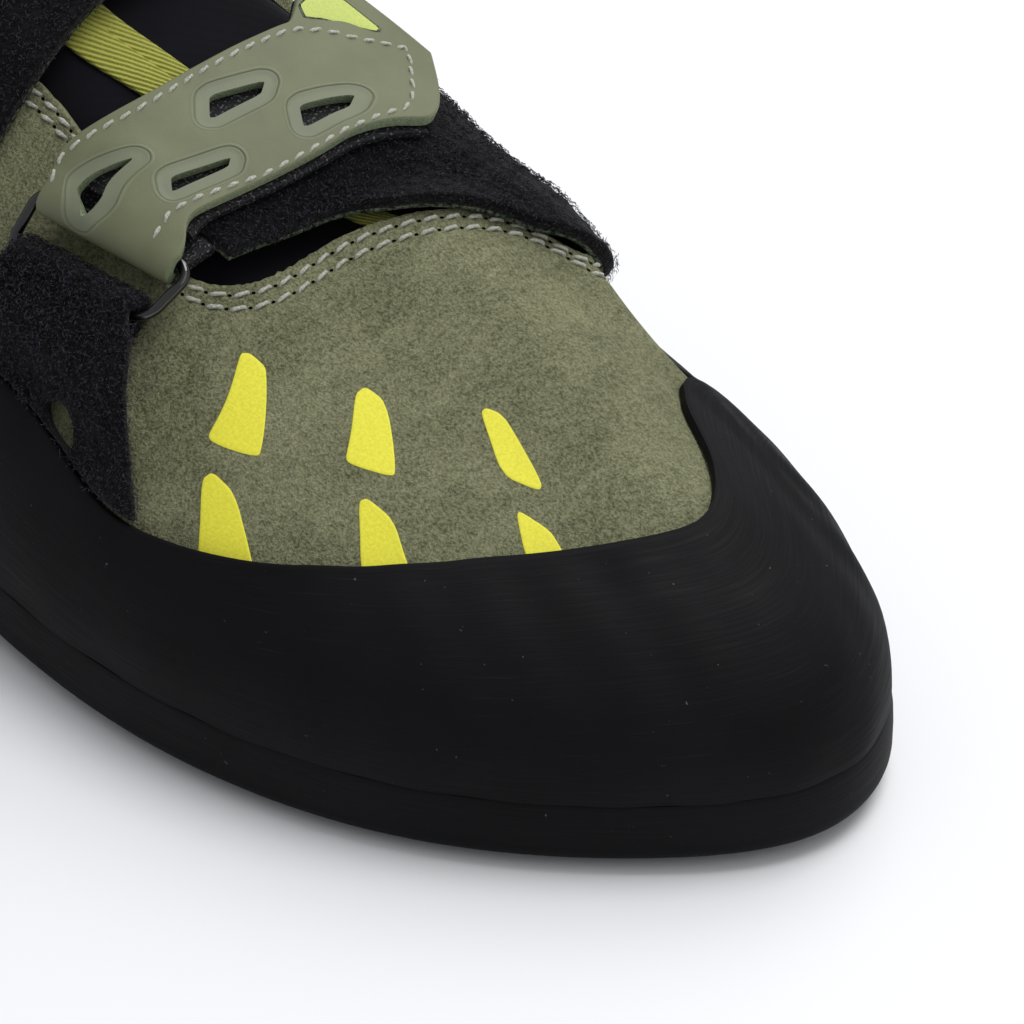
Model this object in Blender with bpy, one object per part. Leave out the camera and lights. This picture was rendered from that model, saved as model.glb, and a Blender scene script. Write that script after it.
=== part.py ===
"""Low climbing shoe, right foot: separate named pieces around one foot form.

Metres, +X towards the toe, +Y towards the inner (big toe) side, +Z up. The origin is the middle
of the heel seat on the floor, HEEL_BACK in front of the heel's back.
The foot form is the inside face of the upper; every layer is this form moved outwards.
"""
import math

import bmesh
import bpy
import numpy as np
from mathutils import Vector
from mathutils.bvhtree import BVHTree

# Main sizes
LENGTH = 0.262
HEEL_BACK = 0.042
BALL_WIDTH = 0.088
INSTEP_HEIGHT = 0.066
SEAT_HEIGHT = 0.010
GAP = 0.0003

# Walls and sheets
UPPER_WALL = 0.0020
RAND_FOOT = 0.0020
RAND_LIP = 0.0013
SOLE_EDGE = 0.0085
SOLE_SHEET = 0.0058
SOLE_CROWN = 0.0015
SOLE_ROUNDING = 0.0020
INSOLE_SHEET = 0.0030
TONGUE_SHEET = 0.0028
TONGUE_RISE = 0.016
TAPE_WIDTH = 0.0075
TAPE_SHEET = 0.0005
BAND_SHEET = 0.0026
HOOK_SHEET = 0.0012
LEATHER_SHEET = 0.0018
TAB_SHEET = 0.0016
RING_WIRE = 0.0015
LAYER_GAP = 0.00055
HOOK_GAP = 0.0007
TONGUE_DROP = 0.00095
HOOK_BEYOND = 0.0008
RING_ROOM = 0.0019
BAR_CLEARANCE = 0.0004
END_TAIL = 0.0050
TAB_TAIL = 0.0025
CROWN_WIDTH = 0.012
DISH_WIDTH = 0.014
INSOLE_INSET = 0.0008
INSOLE_TAPER = 0.0004
SLIT_SPARE = 0.00006
FOOT_RADIUS = 0.042
FOLD_RADIUS = 0.035

# Grid density
AROUND = 72
LEVELS = 10
RAND_LEVELS = 6
HOOK_STEPS = 14

# Foot form, closed ring from the heel along the outer side to the toe and back.
# x, y: foot outline as shares of LENGTH and BALL_WIDTH; seat: share of SEAT_HEIGHT;
# edge_x, edge_y, edge_z: throat and collar edge as shares of LENGTH, BALL_WIDTH, INSTEP_HEIGHT;
# rise: share of INSTEP_HEIGHT; lean, dip: degrees; reach: share of BALL_WIDTH.
FORM_COLUMNS = ("x", "y", "seat", "edge_x", "edge_y", "edge_z", "rise", "lean", "reach", "dip")
FORM = {
    "heel_back": (0.000, 0.000, 0.95, 0.030, 0.000, 1.200, 0.40, 12, 0.25, 98),
    "heel_outer": (0.045, -0.250, 0.95, 0.065, -0.180, 1.150, 0.40, 10, 0.25, 92),
    "seat_outer": (0.150, -0.345, 0.95, 0.165, -0.245, 0.980, 0.33, 6, 0.23, 86),
    "waist_outer": (0.320, -0.355, 1.15, 0.320, -0.235, 1.140, 0.33, 6, 0.25, 76),
    "mid_outer": (0.490, -0.385, 1.12, 0.440, -0.185, 1.050, 0.33, 9, 0.27, 58),
    "ball_outer": (0.665, -0.437, 1.03, 0.535, -0.120, 0.915, 0.27, 12, 0.32, 42),
    "little_toe": (0.800, -0.402, 1.03, 0.625, -0.160, 0.752, 0.24, 12, 0.31, 32),
    "toe_outer": (0.901, -0.274, 1.03, 0.668, -0.082, 0.712, 0.24, 12, 0.43, 22),
    "toe_front": (0.978, -0.075, 1.06, 0.673, 0.061, 0.737, 0.26, 10, 0.52, 17),
    "toe_tip": (1.013, 0.129, 1.10, 0.691, 0.200, 0.760, 0.27, 8, 0.52, 17),
    "big_toe": (0.979, 0.304, 1.08, 0.714, 0.322, 0.704, 0.273, 6, 0.467, 28),
    "toe_inner": (0.910, 0.379, 1.03, 0.735, 0.378, 0.639, 0.345, 5, 0.296, 40),
    "joint_inner": (0.800, 0.475, 1.03, 0.672, 0.377, 0.664, 0.316, 5, 0.289, 60),
    "ball_inner": (0.690, 0.485, 1.03, 0.600, 0.360, 0.782, 0.33, 6, 0.27, 60),
    "arch_inner": (0.500, 0.360, 1.45, 0.460, 0.280, 1.030, 0.36, 8, 0.27, 72),
    "waist_inner": (0.330, 0.280, 1.45, 0.320, 0.235, 1.140, 0.39, 8, 0.25, 80),
    "seat_inner": (0.150, 0.290, 0.95, 0.165, 0.240, 0.980, 0.33, 6, 0.23, 86),
    "heel_inner": (0.045, 0.220, 0.95, 0.065, 0.175, 1.150, 0.40, 10, 0.25, 92),
}
ROWS = len(FORM)

# Upper lip of the two rubber rands, ring position to share of the wall height.
TOE_RAND_LIP = (
    (3.75, 0.450), (4.75, 0.466), (4.95, 0.448), (5.10, 0.420), (5.24, 0.382), (5.34, 0.370),
    (5.50, 0.374), (5.83, 0.408), (6.18, 0.448), (6.59, 0.496), (7.05, 0.524), (7.50, 0.528),
    (7.96, 0.516), (8.56, 0.503), (8.80, 0.501), (8.95, 0.508), (9.11, 0.528), (9.28, 0.560),
    (9.46, 0.602), (9.57, 0.644), (9.72, 0.684), (10.07, 0.722), (10.35, 0.728), (10.57, 0.716),
    (10.90, 0.650), (11.30, 0.560), (12.00, 0.460), (13.00, 0.400), (13.60, 0.370), (14.25, 0.350),
)
HEEL_RAND_LIP = (
    (14.25, 0.350), (15.0, 0.360), (16.0, 0.440), (17.0, 0.640), (18.0, 0.690), (19.0, 0.640),
    (20.0, 0.500), (21.75, 0.450),
)
RAND_JOIN_OUTER = 3.75
RAND_JOIN_INNER = 14.25

# Straps and tabs, one row per cross line: rear turn in degrees round the foot axis (outer side
# negative), rear x as share of LENGTH, front turn, front x. Each strap end starts at its ring.
AXIS_Y = 0.068
AXIS_Z = 0.333
FRONT_BAND = (
    (-28.5, 0.571, -28.5, 0.6520), (-7.0, 0.576, -7.0, 0.6603), (4.0, 0.580, 4.0, 0.6663),
    (16.0, 0.585, 16.0, 0.683), (34.0, 0.604, 34.0, 0.707), (48.0, 0.627, 48.0, 0.728),
    (55.0, 0.637, 55.0, 0.741), (62.0, 0.645, 62.0, 0.733), (71.0, 0.650, 71.0, 0.716),
)
FRONT_END = (
    (-37.3, 0.5715, -37.3, 0.6455), (-30.5, 0.5672, -30.5, 0.6318), (-15.0, 0.5718, -15.0, 0.6355),
    (4.0, 0.574, 4.0, 0.6395), (13.0, 0.5755, 14.5, 0.641), (15.5, 0.5745, 24.0, 0.6475),
    (19.5, 0.5605, 30.2, 0.656), (22.4, 0.549, 35.4, 0.612),
)
FRONT_TAB = (
    (-50.5, 0.580, -50.5, 0.648), (-55.0, 0.571, -57.0, 0.659), (-59.5, 0.562, -63.5, 0.670),
    (-63.5, 0.556, -70.0, 0.681), (-66.5, 0.553, -76.0, 0.692), (-69.2, 0.550, -81.9, 0.705),
)
REAR_BAND = (
    (-61.0, 0.425, -63.5, 0.520), (-48.0, 0.430, -48.0, 0.524), (-35.0, 0.433, -35.0, 0.5234),
    (-21.0, 0.4325, -21.0, 0.5207), (-7.0, 0.432, -7.0, 0.5135), (10.0, 0.430, 10.0, 0.511),
    (22.0, 0.428, 22.0, 0.508),
)
REAR_END = (
    (31.0, 0.432, 31.0, 0.502), (24.0, 0.430, 24.0, 0.500), (15.0, 0.430, 15.0, 0.500),
    (8.0, 0.434, 8.0, 0.498), (3.0, 0.446, 3.0, 0.490), (1.0, 0.460, 1.0, 0.480),
)
REAR_TAB = (
    (41.5, 0.434, 41.5, 0.500), (45.0, 0.431, 47.5, 0.505), (48.7, 0.427, 54.5, 0.510),
    (52.0, 0.424, 61.5, 0.514),
)
# Lower edge of the front tab along the rand: x share of LENGTH, degrees.
FRONT_TAB_FOOT = (
    (0.550, -68.9), (0.581, -70.3), (0.6015, -71.6), (0.6246, -73.8), (0.6491, -76.8),
    (0.6744, -80.2), (0.690, -81.5), (0.705, -81.9),
)
# Windows in the front strap end: corners of each, (x share of LENGTH, degrees).
WINDOWS = (
    ((0.5869, -34.7), (0.5975, -38.6), (0.5999, -32.6), (0.5938, -26.6), (0.5888, -29.9)),
    ((0.6110, -26.1), (0.6190, -13.6), (0.6222, -15.8), (0.6179, -28.6)),
    ((0.5885, -7.4), (0.5964, 3.9), (0.6012, 1.4), (0.5987, -11.0)),
    ((0.6157, 6.7), (0.6249, 18.2), (0.6295, 15.6), (0.6266, 4.5)),
)
# Tongue: x share of LENGTH, outer and inner side in degrees.
TONGUE = (
    (0.735, -30.0, 52.0), (0.700, -36.0, 56.0), (0.650, -41.0, 60.0), (0.590, -38.0, 58.0),
    (0.530, -36.0, 54.0), (0.460, -36.0, 40.0), (0.400, -33.0, 28.0), (0.340, -25.0, 15.0),
)
# Narrowing of the tongue's top above the cover: share of TONGUE_RISE, share of the width.
TONGUE_TOP = ((0.35, 0.98), (0.70, 0.90), (1.00, 0.66))
# Way in which the top turns upwards.
TONGUE_LEAN = (-0.2, 0.0, 0.9)
# Tape on the tongue: x share of LENGTH, degrees at its middle.
TAPE = (
    (0.400, -7.5), (0.460, -9.0), (0.510, -10.0), (0.560, -5.5), (0.610, 3.5), (0.655, 11.0),
    (0.690, 18.0),
)

COLOURS = {
    "rubber": (0.013, 0.012, 0.013, 1.0),
    "suede": (0.165, 0.170, 0.073, 1.0),
    "strap_leather": (0.190, 0.205, 0.108, 1.0),
    "loop_pile": (0.010, 0.009, 0.011, 1.0),
    "hook_tape": (0.011, 0.011, 0.012, 1.0),
    "tongue_cloth": (0.019, 0.019, 0.024, 1.0),
    "lime_tape": (0.380, 0.430, 0.050, 1.0),
    "ring_enamel": (0.008, 0.008, 0.009, 1.0),
    "footbed_felt": (0.200, 0.190, 0.160, 1.0),
}


def ring_spline(values):
    """Smooth closed curve through values at 0, 1, 2, ..."""
    v = np.asarray(values, float)
    count = len(v)
    matrix = 4.0 * np.eye(count) + np.roll(np.eye(count), 1, 0) + np.roll(np.eye(count), -1, 0)
    slope = np.linalg.solve(matrix, 3.0 * (np.roll(v, -1) - np.roll(v, 1)))

    def at(u):
        u = np.asarray(u, float) % count
        i = np.floor(u).astype(int) % count
        s = u - np.floor(u)
        j = (i + 1) % count
        return ((2 * s**3 - 3 * s**2 + 1) * v[i] + (s**3 - 2 * s**2 + s) * slope[i]
                + (3 * s**2 - 2 * s**3) * v[j] + (s**3 - s**2) * slope[j])

    return at


TRACK = {name: ring_spline([row[i] for row in FORM.values()]) for i, name in enumerate(FORM_COLUMNS)}
MARGIN = UPPER_WALL + GAP + RAND_FOOT


def table_at(table, at, column=1):
    """Value of a short table at a position, eased between the rows."""
    rows = sorted(table)
    return np.interp(at, [row[0] for row in rows], [row[column] for row in rows])


def unit(vector):
    return vector / (np.linalg.norm(vector, axis=-1, keepdims=True) + 1e-12)


def seat(u):
    return TRACK["seat"](u) * SEAT_HEIGHT


def form_point(u, h):
    """Foot form: u is the place round the ring, h runs from the sole (0) to the edge (1)."""
    u = np.asarray(u, float)
    h = np.asarray(h, float)[..., None]
    foot = np.stack([MARGIN + TRACK["x"](u) * (LENGTH - 2 * MARGIN) - HEEL_BACK,
                     TRACK["y"](u) * BALL_WIDTH, seat(u)], -1)
    edge = np.stack([TRACK["edge_x"](u) * LENGTH - HEEL_BACK, TRACK["edge_y"](u) * BALL_WIDTH,
                     TRACK["edge_z"](u) * INSTEP_HEIGHT], -1)
    out = unit(foot[..., :2] - edge[..., :2])
    lean = np.radians(TRACK["lean"](u))[..., None]
    dip = np.radians(TRACK["dip"](u))[..., None]
    rise = TRACK["rise"](u)[..., None] * INSTEP_HEIGHT
    reach = TRACK["reach"](u)[..., None] * BALL_WIDTH
    low = foot + rise * np.concatenate([out * np.sin(lean), np.cos(lean)], -1)
    high = edge + reach * np.concatenate([out * np.cos(dip), -np.sin(dip)], -1)
    return (1 - h)**3 * foot + 3 * (1 - h)**2 * h * low + 3 * (1 - h) * h**2 * high + h**3 * edge


def form_normal(u, h):
    """Outward direction, level at the sole so that the lower edges stay flat."""
    u = np.asarray(u, float)
    h = np.asarray(h, float)
    step = 1e-3
    along = form_point(u + step, h) - form_point(u - step, h)
    top = np.minimum(h + step, 1.0)
    normal = unit(np.cross(along, form_point(u, top) - form_point(u, top - 2 * step)))
    normal[..., 2] *= np.clip(h / 0.08, 0.0, 1.0)
    return unit(normal)


def layer(u, h, offset):
    return form_point(u, h) + form_normal(u, h) * np.asarray(offset, float)[..., None]


def throat_arc(k, w):
    """Curve over the open throat from the outer edge (w = 0) to the inner edge (w = 1)."""
    k = np.asarray(k, float)
    w = np.asarray(w, float)[..., None]
    one = np.ones_like(k)
    left = form_point(k, one)
    right = form_point(ROWS - k, one)
    left_way = unit(left - form_point(k, 0.985 * one))
    right_way = unit(right - form_point(ROWS - k, 0.985 * one))
    pull = 0.36 * np.linalg.norm(left - right, axis=-1, keepdims=True)
    return ((1 - w)**3 * left + 3 * (1 - w)**2 * w * (left + left_way * pull)
            + 3 * (1 - w) * w**2 * (right + right_way * pull) + w**3 * right)


class Cover:
    """Closed skin of the foot form, with the throat bridged, to lay straps and tongue on."""

    def __init__(self):
        around, levels, arc = 216, 36, 18
        places = np.linspace(0, ROWS, around, endpoint=False)
        heights = np.linspace(0, 1, levels)
        grid_u, grid_h = np.meshgrid(places, heights, indexing="ij")
        points = [tuple(p) for p in form_point(grid_u, grid_h).reshape(-1, 3)]
        faces = []
        for i in range(around):
            for j in range(levels - 1):
                a = i * levels + j
                b = ((i + 1) % around) * levels + j
                faces.append((a, b, b + 1, a + 1))
        bridges = []
        for i in range(around // 2 + 1):
            left = i * levels + levels - 1
            right = ((around - i) % around) * levels + levels - 1
            if left == right:
                bridges.append([left] * (arc + 1))
                continue
            first = len(points)
            w = np.linspace(0, 1, arc + 1)[1:-1]
            points += [tuple(p) for p in throat_arc(np.full(len(w), places[i]), w)]
            bridges.append([left] + list(range(first, first + arc - 1)) + [right])
        for near, far in zip(bridges, bridges[1:]):
            for j in range(arc):
                corner = tuple(dict.fromkeys((near[j], far[j], far[j + 1], near[j + 1])))
                if len(corner) > 2:
                    faces.append(corner)
        self.points = np.array(points)
        self.faces = faces
        self.normals = np.zeros_like(self.points)
        for face in faces:
            corners = self.points[list(face)]
            near = corners[2] - corners[0]
            far = corners[-1] - corners[1]
            self.normals[list(face)] += np.cross(near, far) if len(face) == 4 else np.cross(far, near)
        self.normals = unit(self.normals)
        self.tree = BVHTree.FromPolygons(points, faces)

    def at(self, x, degrees, offset):
        """Point over the form at share x of the length, turned round the foot axis."""
        turn = math.radians(degrees)
        start = Vector((x * LENGTH - HEEL_BACK, AXIS_Y * BALL_WIDTH, AXIS_Z * INSTEP_HEIGHT))
        way = Vector((0.0, math.sin(turn), math.cos(turn)))
        spot, flat, index, _ = self.tree.ray_cast(start, way)
        spot = np.array(spot)
        corners = list(self.faces[index])
        weight = 1.0 / (np.linalg.norm(self.points[corners] - spot, axis=1) + 1e-4)**2
        normal = unit((weight[:, None] * self.normals[corners]).sum(0))
        if normal @ np.array(way) < 0:
            normal = -normal
        return spot + normal * offset, normal


COVER = Cover()


def paint(name):
    material = bpy.data.materials.get(name)
    if material:
        return material
    material = bpy.data.materials.new(name)
    material.use_nodes = True
    shader = material.node_tree.nodes["Principled BSDF"]
    shader.inputs["Base Color"].default_value = COLOURS[name]
    shader.inputs["Roughness"].default_value = 0.3 if name == "ring_enamel" else 0.85
    shader.inputs["Metallic"].default_value = 0.0
    return material


def add_node(name, points, faces, colour, smooth=True):
    mesh = bpy.data.meshes.new(name)
    mesh.from_pydata([tuple(p) for p in points], [], faces)
    shape = bmesh.new()
    shape.from_mesh(mesh)
    bmesh.ops.remove_doubles(shape, verts=shape.verts, dist=1e-6)
    bmesh.ops.recalc_face_normals(shape, faces=shape.faces)
    shape.to_mesh(mesh)
    shape.free()
    for face in mesh.polygons:
        face.use_smooth = smooth
    mesh.materials.append(paint(colour))
    item = bpy.data.objects.new(name, mesh)
    bpy.context.scene.collection.objects.link(item)
    return item


def shell(outer, inner, ring=False):
    """Closed solid between two point grids of the same shape; ring joins first and last row."""
    rows, columns = outer.shape[:2]
    points = np.concatenate([outer.reshape(-1, 3), inner.reshape(-1, 3)])
    half = rows * columns
    faces = []
    spans = rows if ring else rows - 1
    for i in range(spans):
        n = (i + 1) % rows
        for j in range(columns - 1):
            a, b, c, d = i * columns + j, n * columns + j, n * columns + j + 1, i * columns + j + 1
            faces.append((a, b, c, d))
            faces.append((half + d, half + c, half + b, half + a))
        for j in (0, columns - 1):
            a, b = i * columns + j, n * columns + j
            faces.append((a, b, half + b, half + a))
    if not ring:
        for i in (0, rows - 1):
            for j in range(columns - 1):
                a, b = i * columns + j, i * columns + j + 1
                faces.append((a, b, half + b, half + a))
    return points, faces


FINE_RUNGS = (0.0, 0.035, 0.09, 0.21, 0.5, 0.79, 0.91, 0.965, 1.0)
PLAIN_RUNGS = (0.0, 0.07, 0.2, 0.5, 0.8, 0.93, 1.0)


def ladder(outline, inside, shares=PLAIN_RUNGS):
    """Rungs across a closed outline whose first point is the heel; inside gives the heights."""
    count = len(outline)
    half = count // 2
    rungs = []
    for i in range(1, half):
        left, right = outline[i], outline[count - i]
        across = np.linalg.norm(left - right)
        rung = [left]
        for share in shares[1:-1]:
            point = left + (right - left) * share
            point[2] += inside(min(share, 1 - share) * across)
            rung.append(point)
        rungs.append(rung + [right])
    return rungs


def cap_faces(points, faces, ring_start, count, rungs):
    """Adds the rungs between ring vertices that already exist and fills the sheet."""
    half = count // 2
    lines = []
    for i, rung in enumerate(rungs, 1):
        first = len(points)
        points.extend(rung[1:-1])
        lines.append([ring_start + i] + list(range(first, first + len(rung) - 2))
                     + [ring_start + count - i])
    for near, far in zip(lines, lines[1:]):
        for j in range(len(near) - 1):
            faces.append((near[j], far[j], far[j + 1], near[j + 1]))
    for tip, line in ((ring_start, lines[0]), (ring_start + half, lines[-1])):
        for j in range(len(line) - 1):
            faces.append((tip, line[j], line[j + 1]))


def stacked(rings, bottom, top):
    """Closed solid from stacked rings and two sheets of rungs."""
    count = len(rings[0])
    points = [p for ring in rings for p in ring]
    faces = []
    for level in range(len(rings) - 1):
        for i in range(count):
            a = level * count + i
            b = level * count + (i + 1) % count
            faces.append((a, b, b + count, a + count))
    cap_faces(points, faces, 0, count, bottom)
    cap_faces(points, faces, (len(rings) - 1) * count, count, top)
    return points, faces


def ease(value):
    value = min(max(value, 0.0), 1.0)
    return value * value * (3 - 2 * value)


PLACES = np.linspace(0, ROWS, AROUND, endpoint=False)
FLAT = form_normal(PLACES, np.zeros(AROUND))


def outline(offset, drop):
    """Foot outline moved outwards and lowered from the seat line."""
    points = form_point(PLACES, np.zeros(AROUND)) + FLAT * offset
    points[:, 2] = seat(PLACES) - drop
    return points


def make_outsole():
    # Wall of the sheet: distance out from the form, drop from the seat line.
    profile = (
        (MARGIN - SOLE_ROUNDING, GAP + SOLE_EDGE),
        (MARGIN - 0.35 * SOLE_ROUNDING, GAP + 0.95 * SOLE_EDGE),
        (MARGIN + 0.0003, GAP + 0.72 * SOLE_EDGE),
        (MARGIN + 0.0004, GAP + 0.35 * SOLE_EDGE),
        (MARGIN, GAP),
        (-2 * GAP, GAP),
    )
    rings = [outline(out, drop) for out, drop in profile]
    bottom = ladder(rings[0], lambda depth: -SOLE_CROWN * ease(depth / CROWN_WIDTH), FINE_RUNGS)
    for rung in bottom:
        for point in rung[1:-1]:
            point[2] = max(point[2], 0.0)
    dish = SOLE_EDGE - SOLE_SHEET + SOLE_CROWN
    top = ladder(rings[-1], lambda depth: -dish * ease(depth / DISH_WIDTH))
    points, faces = stacked(rings, bottom, top)
    return add_node("outsole", points, faces, "rubber")


def make_insole():
    dish = SOLE_EDGE - SOLE_SHEET + SOLE_CROWN
    low = outline(-INSOLE_INSET, -GAP)
    high = outline(-INSOLE_INSET - INSOLE_TAPER, -GAP - INSOLE_SHEET)
    bottom = ladder(low, lambda depth: -dish * ease((depth + INSOLE_TAPER / 2) / DISH_WIDTH))
    top = ladder(high, lambda depth: -dish * ease(depth / DISH_WIDTH))
    points, faces = stacked([low, high], bottom, top)
    return add_node("insole", points, faces, "footbed_felt")


def make_upper():
    grid_u, grid_h = np.meshgrid(PLACES, np.linspace(0, 1, LEVELS + 1)**0.92, indexing="ij")
    points, faces = shell(layer(grid_u, grid_h, np.full_like(grid_u, UPPER_WALL)),
                          form_point(grid_u, grid_h), ring=True)
    return add_node("upper", points, faces, "suede")


def make_rand(name, places, lip):
    tops = table_at(lip, places)
    share = np.linspace(0, 1, RAND_LEVELS + 1)
    grid_h = tops[:, None] * share[None, :]
    grid_u = np.repeat(places[:, None], RAND_LEVELS + 1, 1)
    thick = RAND_FOOT + (RAND_LIP - RAND_FOOT) * share[None, :]**3 + 0 * grid_u
    inner = layer(grid_u, grid_h, np.full_like(grid_u, UPPER_WALL + GAP))
    outer = layer(grid_u, grid_h, UPPER_WALL + GAP + thick)
    points, faces = shell(outer, inner)
    return add_node(name, points, faces, "rubber")


def make_rands():
    step = ROWS / AROUND
    places = np.arange(RAND_JOIN_OUTER, RAND_JOIN_INNER + step / 2, step)
    make_rand("toe_rand", places, TOE_RAND_LIP)
    near, far = form_point(RAND_JOIN_OUTER + np.array((-0.5, 0.5)), np.array((0.3, 0.3)))
    slit = (GAP + SLIT_SPARE) / np.linalg.norm(far - near)
    places = np.arange(RAND_JOIN_INNER, ROWS + RAND_JOIN_OUTER + step / 2, step)
    places[0] += slit
    places[-1] -= slit
    make_rand("heel_rand", places, HEEL_RAND_LIP)


def strip(table, share):
    """Cross line of a strap table at a share of its rows."""
    at = share * (len(table) - 1)
    return [np.interp(at, range(len(table)), [row[i] for row in table]) for i in range(4)]


def level(height):
    """Same height over the form all along a strip."""
    return lambda share: height


def ribbon(table, rows, columns, low, high, span=(0.0, 1.0), foot=(), beyond=0.0):
    """Strip laid over the form between two heights, given along its share.

    foot is the line that its last row follows, beyond widens it at the front."""
    outer = np.zeros((rows, columns, 3))
    inner = np.zeros((rows, columns, 3))
    last_rear_turn, last_rear, last_front_turn, last_front = table[-1]
    for i, share in enumerate(np.linspace(*span, rows)):
        rear_turn, rear, front_turn, front = strip(table, share)
        front += beyond / LENGTH
        for j, across in enumerate(np.linspace(0, 1, columns)):
            x = rear + (front - rear) * across
            turn = rear_turn + (front_turn - rear_turn) * across
            if foot:
                straight = last_rear_turn + (last_front_turn - last_rear_turn) * across
                end = last_rear + (last_front - last_rear) * across
                turn += share**2 * (table_at(foot, end) - straight)
            outer[i, j] = COVER.at(x, turn, high(share))[0]
            inner[i, j] = COVER.at(x, turn, low(share))[0]
    return outer, inner


BAND_LOW = UPPER_WALL + LAYER_GAP
BAND_HIGH = BAND_LOW + BAND_SHEET
HOOK_LOW = BAND_HIGH + HOOK_GAP
HOOK_HIGH = HOOK_LOW + HOOK_SHEET
LEATHER_LOW = HOOK_HIGH + GAP
LEATHER_HIGH = LEATHER_LOW + LEATHER_SHEET
BAR_HEIGHT = (BAND_LOW + LEATHER_HIGH) / 2
TAB_RADIUS = RING_WIRE / 2 + BAR_CLEARANCE
TAB_BAR = BAND_LOW + TAB_SHEET + TAB_RADIUS
END_RADIUS = (LEATHER_HIGH - BAND_LOW) / 2 - LEATHER_SHEET


class RingSeat:
    """Four-cornered patch between the strap fold (t = 0) and the tab fold (t = 1)."""

    def __init__(self, strap, tab):
        turn, rear, _, front = strap[0]
        self.lines = [self.bar(rear, front, turn, BAR_HEIGHT), self.bar(rear, front, tab[0][0], TAB_BAR)]

    def bar(self, rear, front, turn, height):
        """Straight bar over the rounded form, lifted until its middle clears it."""
        ends = [COVER.at(x, turn, height)[0] for x in (rear, front)]
        crest, normal = COVER.at((rear + front) / 2, turn, height)
        lift = max(0.0, (crest - (ends[0] + ends[1]) / 2) @ normal)
        return [end + normal * lift for end in ends]

    def at(self, s, t):
        near = self.lines[0][0] * (1 - s) + self.lines[0][1] * s
        far = self.lines[1][0] * (1 - s) + self.lines[1][1] * s
        return near * (1 - t) + far * t

    def settle(self, t, x_range, turn, height):
        """How far the straight bar lies off the rounded form along its length."""
        moves = []
        for j, x in enumerate(x_range):
            spot, _ = COVER.at(x, turn, height)
            moves.append(self.at(j / (len(x_range) - 1), t) - spot)
        return np.array(moves)


def fold(patch, t, x_range, turn, radius, sheet, tail):
    """Half turn round a ring bar, downwards, with a short tail under the sheet."""
    columns = len(x_range)
    steps = 7
    outer = np.zeros((steps + 2, columns, 3))
    inner = np.zeros((steps + 2, columns, 3))
    toward = math.copysign(1.0, turn) * (1 - 2 * t)
    moves = patch.settle(t, x_range, turn, (TAB_BAR if t else BAR_HEIGHT))
    over = unit(patch.at(0.5, 1) - patch.at(0.5, 0)) * (1 - 2 * t)
    for j, x in enumerate(x_range):
        middle = patch.at(j / (columns - 1), t)
        normal = COVER.at(x, turn, 0.0)[1]
        side = unit(over - normal * (over @ normal))
        for i in range(steps):
            angle = math.pi * (i + 1) / steps
            way = normal * math.cos(angle) + side * math.sin(angle)
            outer[i, j] = middle + way * (radius + sheet)
            inner[i, j] = middle + way * radius
        for i, part in enumerate((0.5, 1.0)):
            turned = turn - toward * math.degrees(tail * part / FOLD_RADIUS)
            shift = moves[j] * (1 - 0.6 * part)
            outer[steps + i, j] = COVER.at(x, turned, BAND_LOW)[0] + shift
            inner[steps + i, j] = COVER.at(x, turned, BAND_LOW + sheet)[0] + shift
    return outer, inner


def folded(table, patch, t, grids, radius, sheet, tail, parts):
    """Strip from its far end to the ring bar, then round the bar."""
    outer, inner = grids
    turn, rear, _, front = table[0]
    x_range = np.linspace(rear, front, outer.shape[1])
    moves = patch.settle(t, x_range, turn, (TAB_BAR if t else BAR_HEIGHT))
    for row, part in zip((-1, -2, -3), parts):
        outer[row] += part * moves
        inner[row] += part * moves
    bend_outer, bend_inner = fold(patch, t, x_range, turn, radius, sheet, tail)
    return shell(np.concatenate([outer, bend_outer]), np.concatenate([inner, bend_inner]))


def make_strap_end(name, table, patch, windows):
    grids = ribbon(table, 15, 6, level(LEATHER_LOW), level(LEATHER_HIGH), (1.0, 0.0))
    points, faces = folded(table, patch, 0, grids, END_RADIUS, LEATHER_SHEET, END_TAIL,
                           (1.0, 0.7, 0.3))
    item = add_node(name, points, faces, "strap_leather")
    for number, corners in enumerate(windows):
        cut_window(item, f"{name}_cutter_{number + 1}", corners)
    return item


def cut_window(item, name, corners):
    spots = list(corners)
    for _ in range(2):
        spots = [(p[0] * (1 - t) + q[0] * t, p[1] * (1 - t) + q[1] * t)
                 for p, q in zip(spots, spots[1:] + spots[:1]) for t in (0.14, 0.86)]
    count = len(spots)
    low = [COVER.at(x, turn, LEATHER_LOW - HOOK_SHEET)[0] for x, turn in spots]
    high = [COVER.at(x, turn, LEATHER_HIGH + LEATHER_SHEET)[0] for x, turn in spots]
    faces = [tuple(range(count)), tuple(range(count, 2 * count))]
    faces += [(i, (i + 1) % count, count + (i + 1) % count, count + i) for i in range(count)]
    cutter = add_node(name, low + high, faces, "strap_leather", smooth=False)
    cutter.hide_render = True
    cutter.display_type = "WIRE"
    cut = item.modifiers.new(name, "BOOLEAN")
    cut.operation = "DIFFERENCE"
    cut.solver = "EXACT"
    cut.object = cutter


def make_hook(name, table, span):
    rows = round((span[1] - span[0]) * HOOK_STEPS) + 1
    outer, inner = ribbon(table, rows, 6, level(HOOK_LOW), level(HOOK_HIGH), span, (), HOOK_BEYOND)
    points, faces = shell(outer, inner)
    return add_node(name, points, faces, "hook_tape")


def make_band(name, table):
    outer, inner = ribbon(table, 25, 6, level(BAND_LOW), level(BAND_HIGH))
    points, faces = shell(outer, inner)
    return add_node(name, points, faces, "loop_pile")


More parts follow.
